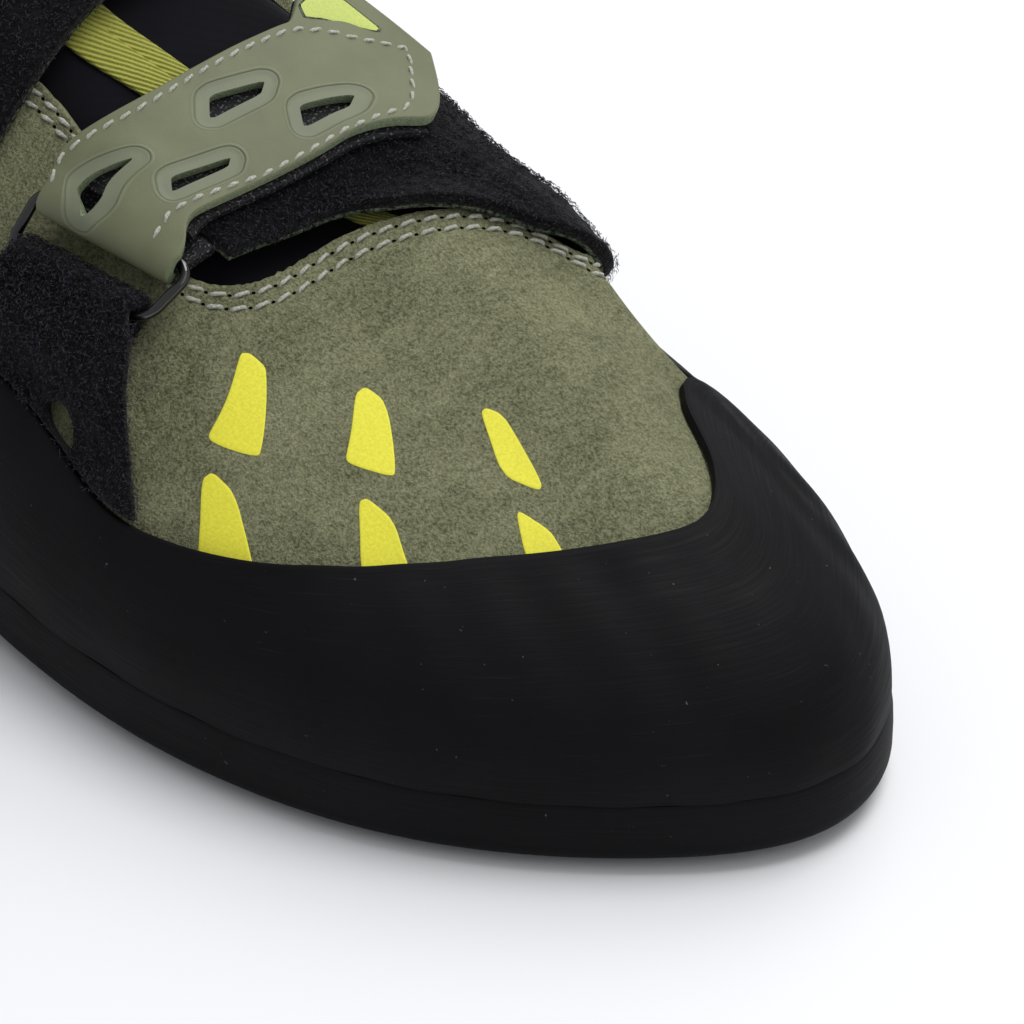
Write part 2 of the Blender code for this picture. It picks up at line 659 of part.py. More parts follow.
def make_ring(name, patch):
    """Rounded wire ring: one bar in the strap fold, the other in the tab fold."""
    length = np.linalg.norm(patch.at(1, 0) - patch.at(0, 0))
    span = np.linalg.norm(patch.at(0.5, 1) - patch.at(0.5, 0))
    room = RING_ROOM / length
    corner = 0.24 * span
    path = []
    for s_end, t_end, begin in ((1 + room, 0, 0.5), (1 + room, 1, 0.0), (-room, 1, -0.5), (-room, 0, -1.0)):
        s_middle = s_end - math.copysign(corner / length, s_end - 0.5)
        t_middle = t_end - math.copysign(corner / span, t_end - 0.5)
        for i in range(5):
            turn = math.pi * (begin - 0.125 * i)
            path.append(patch.at(s_middle + corner / length * math.cos(turn),
                                 t_middle - corner / span * math.sin(turn)))
    line = np.array(path)
    count = len(line)
    way = unit(np.roll(line, -1, 0) - np.roll(line, 1, 0))
    face_way = unit(np.cross(patch.at(1, 0.5) - patch.at(0, 0.5),
                             patch.at(0.5, 1) - patch.at(0.5, 0)))
    points = []
    for i in range(count):
        side = unit(np.cross(way[i], face_way))
        lift = unit(np.cross(side, way[i]))
        for angle in np.linspace(0, 2 * math.pi, 6, endpoint=False):
            points.append(line[i] + 0.5 * RING_WIRE * (math.cos(angle) * lift + math.sin(angle) * side))
    faces = []
    for i in range(count):
        n = (i + 1) % count
        for j in range(6):
            m = (j + 1) % 6
            faces.append((i * 6 + j, n * 6 + j, n * 6 + m, i * 6 + m))
    return add_node(name, points, faces, "ring_enamel")


def make_tab(name, table, patch, foot=()):
    """Fabric tab from the rand up over the lower ring bar, its end tucked under."""
    lift = 2 * TAB_RADIUS + TAB_SHEET

    def low(share):
        return BAND_LOW + lift * (1 - ease((share - 0.35) / 0.6))

    def high(share):
        return low(share) + TAB_SHEET

    grids = ribbon(table, 12, 7, low, high, (1.0, 0.0), foot)
    points, faces = folded(table, patch, 1, grids, TAB_RADIUS, TAB_SHEET, TAB_TAIL, (1.0, 0.7, 0.3))
    return add_node(name, points, faces, "loop_pile")


TONGUE_PLACES = np.linspace(TONGUE[0][0], TONGUE[-1][0], 20)


def make_tongue():
    """Padded sheet under the cover whose top rises above it, narrowing to a round end."""
    places = TONGUE_PLACES
    columns = 11
    count = len(places)
    outer = np.zeros((count + len(TONGUE_TOP), columns, 3))
    inner = np.zeros_like(outer)
    for i, x in enumerate(places):
        for j, turn in enumerate(np.linspace(table_at(TONGUE, x, 1), table_at(TONGUE, x, 2), columns)):
            outer[i, j] = COVER.at(x, turn, -TONGUE_DROP)[0]
            inner[i, j] = COVER.at(x, turn, -TONGUE_DROP - TONGUE_SHEET)[0]
    middle = (outer[count - 1] + inner[count - 1]).mean(0) / 2
    behind = (outer[count - 3] + inner[count - 3]).mean(0) / 2
    way = unit(unit(middle - behind) + np.array(TONGUE_LEAN))
    for i, (rise, width) in enumerate(TONGUE_TOP):
        for grid in (outer, inner):
            row = grid[count - 1]
            centre = row.mean(0)
            grid[count + i] = centre + (row - centre) * width + way * rise * TONGUE_RISE
    points, faces = shell(outer, inner)
    return add_node("tongue", points, faces, "tongue_cloth")


def make_tape():
    places = [x for x in TONGUE_PLACES if TAPE[0][0] <= x <= TAPE[-1][0]]
    low = GAP - TONGUE_DROP
    turn_half = math.degrees(TAPE_WIDTH / 2 / FOOT_RADIUS)
    outer = np.zeros((len(places), 3, 3))
    inner = np.zeros_like(outer)
    for i, x in enumerate(places):
        middle = table_at(TAPE, x)
        for j, side in enumerate((-1, 0, 1)):
            outer[i, j] = COVER.at(x, middle + side * turn_half, low + TAPE_SHEET)[0]
            inner[i, j] = COVER.at(x, middle + side * turn_half, low)[0]
    points, faces = shell(outer, inner)
    return add_node("tongue_tape", points, faces, "lime_tape")


def main():
    for item in list(bpy.data.objects):
        bpy.data.objects.remove(item, do_unlink=True)
    make_outsole()
    make_insole()
    make_upper()
    make_rands()
    make_tongue()
    make_tape()
    make_band("front_strap_band", FRONT_BAND)
    make_hook("front_strap_hook", FRONT_END, (1 / HOOK_STEPS, 1 - 1 / HOOK_STEPS))
    front = RingSeat(FRONT_END, FRONT_TAB)
    make_strap_end("front_strap_end", FRONT_END, front, WINDOWS)
    make_ring("front_ring", front)
    make_tab("front_ring_tab", FRONT_TAB, front, FRONT_TAB_FOOT)
    make_band("rear_strap_band", REAR_BAND)
    make_hook("rear_strap_hook", REAR_END, (5 / HOOK_STEPS, 1 - 1 / HOOK_STEPS))
    rear = RingSeat(REAR_END, REAR_TAB)
    make_strap_end("rear_strap_end", REAR_END, rear, ())
    make_ring("rear_ring", rear)
    make_tab("rear_ring_tab", REAR_TAB, rear)


main()
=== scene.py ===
"""Low climbing shoe, right foot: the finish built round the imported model.

Metres, +X towards the toe, +Y towards the inner side, +Z up, origin under the heel seat. The
foot form is the inside face of the upper; suede, rubber, straps and thread are laid over it.
"""
import math

import bmesh
import bpy
import numpy as np
from bpy.props import FloatProperty, FloatVectorProperty, PointerProperty
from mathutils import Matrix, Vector
from mathutils.bvhtree import BVHTree


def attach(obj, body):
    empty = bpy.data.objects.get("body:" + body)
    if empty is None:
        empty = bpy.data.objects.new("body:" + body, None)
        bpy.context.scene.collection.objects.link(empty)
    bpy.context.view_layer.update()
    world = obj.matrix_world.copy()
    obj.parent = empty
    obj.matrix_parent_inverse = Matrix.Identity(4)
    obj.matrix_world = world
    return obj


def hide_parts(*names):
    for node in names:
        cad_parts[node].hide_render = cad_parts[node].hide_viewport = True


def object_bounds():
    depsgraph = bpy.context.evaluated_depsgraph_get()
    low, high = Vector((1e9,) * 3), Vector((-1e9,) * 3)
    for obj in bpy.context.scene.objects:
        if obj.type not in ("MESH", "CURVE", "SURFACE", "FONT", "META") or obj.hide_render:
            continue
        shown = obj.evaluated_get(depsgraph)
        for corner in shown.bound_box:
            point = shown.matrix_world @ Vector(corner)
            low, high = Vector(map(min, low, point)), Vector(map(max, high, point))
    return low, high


bl_info = {
    "name": "Climbing shoe finish",
    "version": (1, 0, 0),
    "blender": (4, 5, 0),
    "location": "View3D > Sidebar > Climbing shoe",
    "description": "Suede, rubber, straps, thread and light for the packed climbing shoe",
    "category": "Object",
}

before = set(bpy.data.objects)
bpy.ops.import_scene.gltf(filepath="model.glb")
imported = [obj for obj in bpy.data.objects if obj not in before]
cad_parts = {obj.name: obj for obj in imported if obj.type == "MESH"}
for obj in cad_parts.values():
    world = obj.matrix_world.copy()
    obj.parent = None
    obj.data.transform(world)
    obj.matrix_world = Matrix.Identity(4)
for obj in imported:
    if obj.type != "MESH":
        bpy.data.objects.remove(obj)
CAD_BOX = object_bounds()

# Foot form sizes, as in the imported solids
LENGTH = 0.262
HEEL_BACK = 0.042
BALL_WIDTH = 0.088
INSTEP_HEIGHT = 0.066
SEAT_HEIGHT = 0.010
AXIS_Y = 0.068
AXIS_Z = 0.333
GAP = 0.0003

# Walls and sheets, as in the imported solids
UPPER_WALL = 0.0020
RAND_FOOT = 0.0020
RAND_LIP = 0.0012
SOLE_EDGE = 0.0085
SOLE_SHEET = 0.0058
SOLE_CROWN = 0.0015
SOLE_ROUNDING = 0.0020
INSOLE_SHEET = 0.0030
TONGUE_SHEET = 0.0028
TONGUE_RISE = 0.016
TONGUE_DROP = 0.00095
BAND_SHEET = 0.0026
HOOK_SHEET = 0.0012
LEATHER_SHEET = 0.0018
TAB_SHEET = 0.0016
RING_WIRE = 0.0015
LAYER_GAP = 0.00055
HOOK_GAP = 0.0007
HOOK_BEYOND = 0.0008
RING_ROOM = 0.0019
BAR_CLEARANCE = 0.0004
END_TAIL = 0.0050
TAB_TAIL = 0.0025
CROWN_WIDTH = 0.012
DISH_WIDTH = 0.014
INSOLE_INSET = 0.0008
INSOLE_TAPER = 0.0004
FOOT_RADIUS = 0.042
FOLD_RADIUS = 0.035
MARGIN = UPPER_WALL + GAP + RAND_FOOT
BAND_LOW = UPPER_WALL + LAYER_GAP
BAND_HIGH = BAND_LOW + BAND_SHEET
HOOK_LOW = BAND_HIGH + HOOK_GAP
LEATHER_LOW = HOOK_LOW + HOOK_SHEET + GAP
LEATHER_HIGH = LEATHER_LOW + LEATHER_SHEET
BAR_HEIGHT = (BAND_LOW + LEATHER_HIGH) / 2
TAB_RADIUS = RING_WIRE / 2 + BAR_CLEARANCE
TAB_BAR = BAND_LOW + TAB_SHEET + TAB_RADIUS
END_RADIUS = (LEATHER_HIGH - BAND_LOW) / 2 - LEATHER_SHEET
LEATHER_MIDDLE = (LEATHER_LOW + LEATHER_HIGH) / 2

# Sizes of the finish that belong to one piece
BACKING_SHEET = 0.0007
TAPE_SHEET = 0.0007
TAPE_SWELL = 0.00025
TONGUE_SWELL = 0.0003
TONGUE_UNEVEN = 0.00012
STITCH_DITCH = 0.00022
STITCH_DITCH_SHARE = 0.008
EDGE_RAGGED = 0.00012
FILM_SUNK = 0.0002
STITCH_SUNK = 0.00018
STRAP_STITCH_SUNK = 0.00012
# Size of the dark lens of painted shade at each needle hole, as shares of the thread
NEEDLE_HOLE_LENGTH_SHARE = 0.92
NEEDLE_HOLE_WIDTH_SHARE = 0.72
RAND_SLIT = 0.0002
RAND_WAVE = 0.00010
RING_CORNER_SHARE = 0.30
CUTTER_REACH = 0.005
REAR_SEAM_START = 0.011
STRAP_THREAD_SHARE = 0.9
# Cut edge of the suede from outside to inside: distance outside the form, height over the edge
RAW_EDGE = (
    (UPPER_WALL - 0.0001, 0.00015), (UPPER_WALL - 0.0004, 0.00035), (0.0012, 0.00042),
    (0.0006, 0.00035), (0.0001, 0.0001),
)
# Mean distance of the outline from the middle, for patterns that run round the sole
ROUND_RADIUS = 0.09
# Share of a ring bar's lift that the last three rows before the fold keep
FOLD_LIFT = (1.0, 0.7, 0.3)
# Thickness left at the last three rows of a rand's rounded lip
RAND_LIP_ROUND = (0.99, 0.955, 0.86)
# About one ring step and the height of the wall over the form, for patterns that follow them
RING_STEP = 0.030
WALL_RISE = 0.070
# Pile filaments to a square metre of face and to a metre of rim
BAND_PILE = (4.4e6, 7000)
TAB_PILE = (9.0e6, 14000)

# Foot form: a closed ring from the heel along the outer side to the toe and back. x and y place the
# foot outline, edge_x, edge_y and edge_z the throat and collar edge, as shares of the sizes above.
FORM_COLUMNS = ("x", "y", "seat", "edge_x", "edge_y", "edge_z", "rise", "lean", "reach", "dip")
FORM = {
    "heel_back": (0.000, 0.000, 0.95, 0.030, 0.000, 1.200, 0.40, 12, 0.25, 98),
    "heel_outer": (0.045, -0.250, 0.95, 0.065, -0.180, 1.150, 0.40, 10, 0.25, 92),
    "seat_outer": (0.150, -0.345, 0.95, 0.165, -0.245, 0.980, 0.33, 6, 0.23, 86),
    "waist_outer": (0.320, -0.355, 1.15, 0.320, -0.235, 1.140, 0.33, 6, 0.25, 76),
    "mid_outer": (0.490, -0.385, 1.12, 0.440, -0.185, 1.050, 0.33, 9, 0.27, 58),
    "ball_outer": (0.665, -0.437, 1.03, 0.535, -0.120, 0.915, 0.27, 12, 0.32, 42),
    "little_toe": (0.800, -0.402, 1.03, 0.625, -0.160, 0.752, 0.24, 12, 0.31, 32),
    "toe_outer": (0.901, -0.274, 1.03, 0.668, -0.082, 0.712, 0.24, 12, 0.43, 22),
    "toe_front": (0.978, -0.075, 1.06, 0.673, 0.061, 0.737, 0.26, 10, 0.52, 17),
    "toe_tip": (1.013, 0.129, 1.10, 0.691, 0.200, 0.760, 0.27, 8, 0.52, 17),
    "big_toe": (0.979, 0.304, 1.08, 0.714, 0.322, 0.704, 0.273, 6, 0.467, 28),
    "toe_inner": (0.910, 0.379, 1.03, 0.735, 0.378, 0.639, 0.345, 5, 0.296, 40),
    "joint_inner": (0.800, 0.475, 1.03, 0.672, 0.377, 0.664, 0.316, 5, 0.289, 60),
    "ball_inner": (0.690, 0.485, 1.03, 0.600, 0.360, 0.782, 0.33, 6, 0.27, 60),
    "arch_inner": (0.500, 0.360, 1.45, 0.460, 0.280, 1.030, 0.36, 8, 0.27, 72),
    "waist_inner": (0.330, 0.280, 1.45, 0.320, 0.235, 1.140, 0.39, 8, 0.25, 80),
    "seat_inner": (0.150, 0.290, 0.95, 0.165, 0.240, 0.980, 0.33, 6, 0.23, 86),
    "heel_inner": (0.045, 0.220, 0.95, 0.065, 0.175, 1.150, 0.40, 10, 0.25, 92),
}
ROWS = len(FORM)

# Upper lip of the rubber rands: ring position, share of the wall height
TOE_RAND_LIP = (
    (3.75, 0.450), (4.75, 0.466), (4.95, 0.448), (5.10, 0.420), (5.24, 0.382), (5.34, 0.370),
    (5.50, 0.374), (5.83, 0.408), (6.18, 0.448), (6.59, 0.496), (7.05, 0.524), (7.50, 0.528),
    (7.96, 0.516), (8.56, 0.503), (8.80, 0.501), (8.95, 0.508), (9.11, 0.528), (9.28, 0.560),
    (9.46, 0.602), (9.57, 0.644), (9.72, 0.684), (10.07, 0.722), (10.35, 0.728), (10.57, 0.716),
    (10.90, 0.650), (11.30, 0.560), (12.00, 0.460), (13.00, 0.400), (13.60, 0.370), (14.25, 0.350),
)
HEEL_RAND_LIP = (
    (14.25, 0.350), (15.0, 0.360), (16.0, 0.440), (17.0, 0.640), (18.0, 0.690), (19.0, 0.640),
    (20.0, 0.500), (21.75, 0.450),
)
RAND_JOIN_OUTER = 3.75
RAND_JOIN_INNER = 14.25

# Straps and tabs, one row per cross line: rear turn in degrees round the foot axis (outer side
# negative), rear x as share of LENGTH, front turn, front x
FRONT_BAND = (
    (-28.5, 0.571, -28.5, 0.6520), (-7.0, 0.576, -7.0, 0.6603), (4.0, 0.580, 4.0, 0.6663),
    (16.0, 0.585, 16.0, 0.683), (34.0, 0.604, 34.0, 0.707), (48.0, 0.627, 48.0, 0.728),
    (55.0, 0.637, 55.0, 0.741), (62.0, 0.645, 62.0, 0.733), (71.0, 0.650, 71.0, 0.716),
)
FRONT_END = (
    (-37.3, 0.5715, -37.3, 0.6455), (-30.5, 0.5672, -30.5, 0.6318), (-15.0, 0.5718, -15.0, 0.6355),
    (4.0, 0.574, 4.0, 0.6395), (13.0, 0.5755, 14.5, 0.641), (15.5, 0.5745, 24.0, 0.6475),
    (19.5, 0.5605, 30.2, 0.656), (22.4, 0.549, 35.4, 0.612),
)
FRONT_TAB = (
    (-50.5, 0.580, -50.5, 0.648), (-55.0, 0.571, -57.0, 0.659), (-59.5, 0.562, -63.5, 0.670),
    (-63.5, 0.556, -70.0, 0.681), (-66.5, 0.553, -76.0, 0.692), (-69.2, 0.550, -81.9, 0.705),
)
REAR_BAND = (
    (-61.0, 0.425, -63.5, 0.520), (-48.0, 0.430, -48.0, 0.524), (-35.0, 0.433, -35.0, 0.5234),
    (-21.0, 0.4325, -21.0, 0.5207), (-7.0, 0.432, -7.0, 0.5135), (10.0, 0.430, 10.0, 0.511),
    (22.0, 0.428, 22.0, 0.508),
)
REAR_END = (
    (31.0, 0.432, 31.0, 0.502), (24.0, 0.430, 24.0, 0.500), (15.0, 0.430, 15.0, 0.500),
    (8.0, 0.434, 8.0, 0.498), (3.0, 0.446, 3.0, 0.490), (1.0, 0.460, 1.0, 0.480),
)
REAR_TAB = (
    (41.5, 0.434, 41.5, 0.500), (45.0, 0.431, 47.5, 0.505), (48.7, 0.427, 54.5, 0.510),
    (52.0, 0.424, 61.5, 0.514),
)
# Lower edge of the front tab along the rand: x share of LENGTH, degrees.
FRONT_TAB_FOOT = (
    (0.550, -68.9), (0.581, -70.3), (0.6015, -71.6), (0.6246, -73.8), (0.6491, -76.8),
    (0.6744, -80.2), (0.690, -81.5), (0.705, -81.9),
)
# Windows in the front strap end: corners of each, (x share of LENGTH, degrees).
WINDOWS = (
    ((0.5869, -34.7), (0.5975, -38.6), (0.5999, -32.6), (0.5938, -26.6), (0.5888, -29.9)),
    ((0.6110, -26.1), (0.6190, -13.6), (0.6222, -15.8), (0.6179, -28.6)),
    ((0.5885, -7.4), (0.5964, 3.9), (0.6012, 1.4), (0.5987, -11.0)),
    ((0.6157, 6.7), (0.6249, 18.2), (0.6295, 15.6), (0.6266, 4.5)),
)
# Tongue: x share of LENGTH, outer and inner side in degrees.
TONGUE = (
    (0.735, -30.0, 52.0), (0.700, -36.0, 56.0), (0.650, -41.0, 60.0), (0.590, -38.0, 58.0),
    (0.530, -36.0, 54.0), (0.460, -36.0, 40.0), (0.400, -33.0, 28.0), (0.340, -25.0, 15.0),
)
# Narrowing of the tongue's top above the cover: share of TONGUE_RISE, share of the width.
TONGUE_TOP = ((0.35, 0.98), (0.70, 0.90), (1.00, 0.66))
# Way in which the top turns upwards.
TONGUE_LEAN = (-0.2, 0.0, 0.9)
# Bare lime panel at the tip of the front strap end: (x share of LENGTH, degrees).
LIME_PANEL = ((0.5708, 17.4), (0.5690, 19.0), (0.5742, 24.5), (0.5970, 28.9), (0.5778, 17.2))
# Stitch row on the front strap end, fold to tip and back: (x share of LENGTH, degrees).
STRAP_SEAM = (
    (0.5733, -36.6), (0.5700, -31.5), (0.5728, -27.0), (0.5752, -21.0), (0.5763, -13.7),
    (0.5768, -5.7), (0.5777, 3.4), (0.5792, 10.9), (0.5811, 15.0), (0.5858, 18.2),
    (0.5952, 22.8), (0.6025, 27.4), (0.6082, 31.0), (0.6130, 31.2), (0.6267, 29.6),
    (0.6410, 27.2), (0.6443, 25.0), (0.6403, 16.5), (0.6375, 5.8), (0.6357, -4.6),
    (0.6345, -11.3), (0.6296, -21.4), (0.6264, -29.5), (0.6269, -33.5), (0.6306, -37.2),
)
# Open web of the front tab.
TAB_HOLE = (
    (0.6268, -71.7), (0.6320, -69.2), (0.6410, -69.0), (0.6494, -71.0), (0.6550, -74.4),
    (0.6545, -76.8), (0.6456, -76.2), (0.6335, -74.4),
)
# Two strands of twill tape on the tongue: width, height over the lower one, then x share and
# degrees at the middle
TAPE_STRANDS = (
    (0.0034, 0.0002, ((0.400, -4.0), (0.460, -6.0), (0.512, -7.6), (0.561, -2.2), (0.610, 6.5),
                      (0.655, 14.5), (0.690, 22.0))),
    (0.0050, 0.0006, ((0.400, -9.0), (0.460, -10.5), (0.516, -11.6), (0.560, -7.6), (0.610, 1.5),
                      (0.655, 9.5), (0.690, 18.0))),
)
# Yellow prints on the suede: (ring position, share of the wall height)
PRINTS = (
    ((6.57, 0.888), (6.67, 0.892), (6.75, 0.872), (6.72, 0.852), (6.46, 0.708), (6.42, 0.692),
     (6.10, 0.672), (6.08, 0.684)),
    ((7.32, 0.816), (7.44, 0.824), (7.52, 0.796), (7.31, 0.696), (7.27, 0.684), (7.03, 0.712),
     (7.03, 0.724)),
    ((8.10, 0.740), (8.16, 0.744), (8.22, 0.732), (8.23, 0.716), (8.15, 0.624), (8.10, 0.616),
     (7.94, 0.652)),
    ((5.95, 0.572), (6.05, 0.608), (6.17, 0.588), (6.17, 0.464), (6.16, 0.400), (5.82, 0.360),
     (5.85, 0.420)),
    ((6.97, 0.644), (7.04, 0.652), (7.13, 0.612), (7.09, 0.536), (7.07, 0.460), (6.79, 0.450),
     (6.82, 0.524)),
    ((7.86, 0.588), (7.90, 0.596), (8.00, 0.556), (7.99, 0.524), (7.96, 0.450), (7.74, 0.460),
     (7.77, 0.532)),
)
# Soft troughs (negative) and ridges of the worn-in suede: ring position and height share of both
# ends, half width, depth
CREASES = (
    (8.70, 0.70, 9.35, 0.62, 0.0035, -0.00035),
    (8.95, 0.78, 9.50, 0.74, 0.0030, -0.00030),
    (7.70, 0.88, 8.60, 0.90, 0.0040, -0.00040),
    (7.20, 0.62, 7.80, 0.66, 0.0050, 0.00030),
    (5.60, 0.62, 6.05, 0.80, 0.0040, -0.00045),
    (11.2, 0.72, 12.3, 0.84, 0.0050, -0.00060),
    (12.0, 0.60, 13.0, 0.78, 0.0055, -0.00060),
    (3.30, 0.62, 4.10, 0.90, 0.0050, -0.00060),
    (2.30, 0.70, 3.20, 0.60, 0.0060, -0.00050),
    (14.6, 0.62, 15.6, 0.80, 0.0060, -0.00060),
    (16.2, 0.70, 16.9, 0.86, 0.0045, -0.00050),
    (1.00, 0.78, 1.80, 0.86, 0.0045, -0.00050),
    (0.20, 0.84, 0.90, 0.80, 0.0040, -0.00040),
)
# Camera: degrees round and up, metres away, lens and sensor in millimetres
CAMERA_TURN = 48.0
CAMERA_RISE = 35.0
CAMERA_TARGET = (0.175185, -0.000621, 0.031107)
CAMERA_AWAY = 0.700
CAMERA_LENS = 194.41
CAMERA_SENSOR = 36.0
# Soft disk lights: metres to the camera's right, towards the camera and up from the target,
# diameter, watts
LIGHTS = {
    "key": (0.34, -0.10, 1.1, 0.7, 7.0),
    "rim": (0.30, -0.70, 0.8, 0.8, 4.0),
    "front": (0.50, 0.60, 0.8, 0.9, 1.6),
}
SKY_COLOUR = (0.95, 0.97, 1.0, 1.0)
SKY_STRENGTH = 0.42
FLOOR_SIDE = 6.0


def from_hex(code):
    """Linear colour of an sRGB hex value."""
    parts = [int(code[i:i + 2], 16) / 255 for i in (0, 2, 4)]
    return tuple(c / 12.92 if c <= 0.04045 else ((c + 0.055) / 1.055)**2.4 for c in parts)


def size_of(name, description, default):
    """Setting of a length in metres."""
    return FloatProperty(name=name, description=description, default=default, unit="LENGTH",
                         precision=5)


def colour_of(name, description, code):
    """Setting of a colour, from its sRGB hex value."""
    return FloatVectorProperty(name=name, description=description, default=from_hex(code),
                               subtype="COLOR", size=3, min=0.0, max=1.0)


class ShoeSizes(bpy.types.PropertyGroup):
    """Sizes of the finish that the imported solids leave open"""

    stitch_pitch: size_of("Suede stitch", "Length from stitch to stitch along the throat", 0.0031)
    strap_pitch: size_of("Strap stitch", "Length from stitch to stitch on the strap end", 0.0025)
    thread: size_of("Thread", "Thickness of the sewing thread", 0.00065)
    row_one: size_of("First row", "Distance of the outer stitch row from the throat edge", 0.0014)
    row_two: size_of("Second row", "Distance of the inner stitch row from the throat edge", 0.0036)
    strap_inset: size_of("Strap row", "Distance of the strap stitch row from the edge", 0.0014)
    loop_reach: size_of("Loop height", "Height of the pile loops over the band", 0.0006)
    loop_thread: size_of("Loop thread", "Thickness of one pile filament as drawn", 0.00009)
    emboss_reach: size_of("Emboss width", "Width of the pressed border of a window", 0.0019)
    emboss_depth: size_of("Emboss depth", "Depth of the pressed border of a window", 0.00028)
    ink: size_of("Print", "Thickness of the yellow print", 0.00009)
    seam: size_of("Sole seam", "Width of the hairline between rand and sole", 0.00010)


class ShoeColours(bpy.types.PropertyGroup):
    """Colours of the finish"""

    suede_light: colour_of("Suede, light nap", "Nap brushed towards the light", "949575")
    suede_dark: colour_of("Suede, dark nap", "Nap brushed away from the light", "42432E")
    lining: colour_of("Flesh side", "Inside face of the upper", "6E6B58")
    rubber: colour_of("Rubber", "Sole and rand rubber", "0D0D0F")
    dust: colour_of("Dust", "Grinding dust left on the rubber", "6A6867")
    leather: colour_of("Strap leather", "Smooth face of the strap end", "6C7055")
    pressed: colour_of("Pressed border", "Border pressed round the windows", "7E8473")
    leather_edge: colour_of("Cut edge", "Cut edge of the strap leather", "8A9678")
    backing: colour_of("Band backing", "Cut edge of the backing of the bands", "66705C")
    pile: colour_of("Loop pile", "Ground of the loop fabric", "0A0A0C")
    # Painted sheen: filament colour lighter than the black pile ground, for the light the loops
    # catch
    filament: colour_of("Pile filament", "Single loops of the pile", "34313A")
    hook: colour_of("Hook tape", "Woven ground of the hook tape", "121214")
    hook_fleck: colour_of("Hook fleck", "Filaments that show on the hook tape", "6D6D72")
    tongue: colour_of("Tongue cloth", "Tongue cloth", "0C0C12")
    tape: colour_of("Twill tape", "Lime twill tape", "AAAB50")
    # Painted shade: the colour that darkens the furrows between the twill ribs
    tape_shade: colour_of("Twill furrow", "Furrows between the twill ribs", "75772A")
    lime: colour_of("Lime panel", "Bare panel on the strap tip", "BECB6C")
    ink: colour_of("Yellow print", "Ink of the yellow prints", "E8E244")
    thread: colour_of("Thread", "Sewing thread", "B2B3A6")
    enamel: colour_of("Ring enamel", "Lacquer of the wire ring", "0B0B0C")
    felt: colour_of("Footbed felt", "Felt of the insole", "6C6A63")
    floor: colour_of("Floor", "Plain studio floor", "F4F4F6")


def ring_spline(values):
    """Smooth closed curve through values at 0, 1, 2, ..."""
    v = np.asarray(values, float)
    count = len(v)
    matrix = 4.0 * np.eye(count) + np.roll(np.eye(count), 1, 0) + np.roll(np.eye(count), -1, 0)
    slope = np.linalg.solve(matrix, 3.0 * (np.roll(v, -1) - np.roll(v, 1)))

    def at(u):
        u = np.asarray(u, float) % count
        i = np.floor(u).astype(int) % count
        s = u - np.floor(u)
        j = (i + 1) % count
        return ((2 * s**3 - 3 * s**2 + 1) * v[i] + (s**3 - 2 * s**2 + s) * slope[i]
                + (3 * s**2 - 2 * s**3) * v[j] + (s**3 - s**2) * slope[j])

    return at


TRACK = {name: ring_spline([row[i] for row in FORM.values()])
         for i, name in enumerate(FORM_COLUMNS)}


def table_at(table, at, column=1):
    """Value in a column of a table, between the rows that its first column names."""
    rows = sorted(table)
    return np.interp(at, [row[0] for row in rows], [row[column] for row in rows])


def rounded_at(table, at, reach):
    """Table value averaged over a short reach, which rounds its corners."""
    shifts = np.linspace(-reach, reach, 9)
    return sum(table_at(table, at + shift) for shift in shifts) / len(shifts)


def unit(vector):
    """Vectors of length one."""
    return vector / (np.linalg.norm(vector, axis=-1, keepdims=True) + 1e-12)


def seat(u):
    """Height of the seat line over the floor."""
    return TRACK["seat"](u) * SEAT_HEIGHT


def form_point(u, h):
    """Foot form: u is the place round the ring, h runs from the sole (0) to the edge (1)."""
    u = np.asarray(u, float)
    h = np.asarray(h, float)[..., None]
    foot = np.stack([MARGIN + TRACK["x"](u) * (LENGTH - 2 * MARGIN) - HEEL_BACK,
                     TRACK["y"](u) * BALL_WIDTH, seat(u)], -1)
    edge = np.stack([TRACK["edge_x"](u) * LENGTH - HEEL_BACK, TRACK["edge_y"](u) * BALL_WIDTH,
                     TRACK["edge_z"](u) * INSTEP_HEIGHT], -1)
    out = unit(foot[..., :2] - edge[..., :2])
    lean = np.radians(TRACK["lean"](u))[..., None]
    dip = np.radians(TRACK["dip"](u))[..., None]
    rise = TRACK["rise"](u)[..., None] * INSTEP_HEIGHT
    reach = TRACK["reach"](u)[..., None] * BALL_WIDTH
    low = foot + rise * np.concatenate([out * np.sin(lean), np.cos(lean)], -1)
    high = edge + reach * np.concatenate([out * np.cos(dip), -np.sin(dip)], -1)
    return (1 - h)**3 * foot + 3 * (1 - h)**2 * h * low + 3 * (1 - h) * h**2 * high + h**3 * edge


def form_normal(u, h):
    """Outward direction, level at the sole so that the lower edges stay flat."""
    u = np.asarray(u, float)
    h = np.asarray(h, float)
    step = 1e-3
    along = form_point(u + step, h) - form_point(u - step, h)
    top = np.minimum(h + step, 1.0)
    normal = unit(np.cross(along, form_point(u, top) - form_point(u, top - 2 * step)))
    normal[..., 2] *= np.clip(h / 0.08, 0.0, 1.0)
    return unit(normal)


def layer(u, h, offset):
    """Points at a distance outside the foot form."""
    return form_point(u, h) + form_normal(u, h) * np.asarray(offset, float)[..., None]


def throat_arc(k, w):
    """Curve over the open throat from the outer edge (w = 0) to the inner edge (w = 1)."""
    k = np.asarray(k, float)
    w = np.asarray(w, float)[..., None]
    one = np.ones_like(k)
    left = form_point(k, one)
    right = form_point(ROWS - k, one)
    left_way = unit(left - form_point(k, 0.985 * one))
    right_way = unit(right - form_point(ROWS - k, 0.985 * one))
    pull = 0.36 * np.linalg.norm(left - right, axis=-1, keepdims=True)
    return ((1 - w)**3 * left + 3 * (1 - w)**2 * w * (left + left_way * pull)
            + 3 * (1 - w) * w**2 * (right + right_way * pull) + w**3 * right)


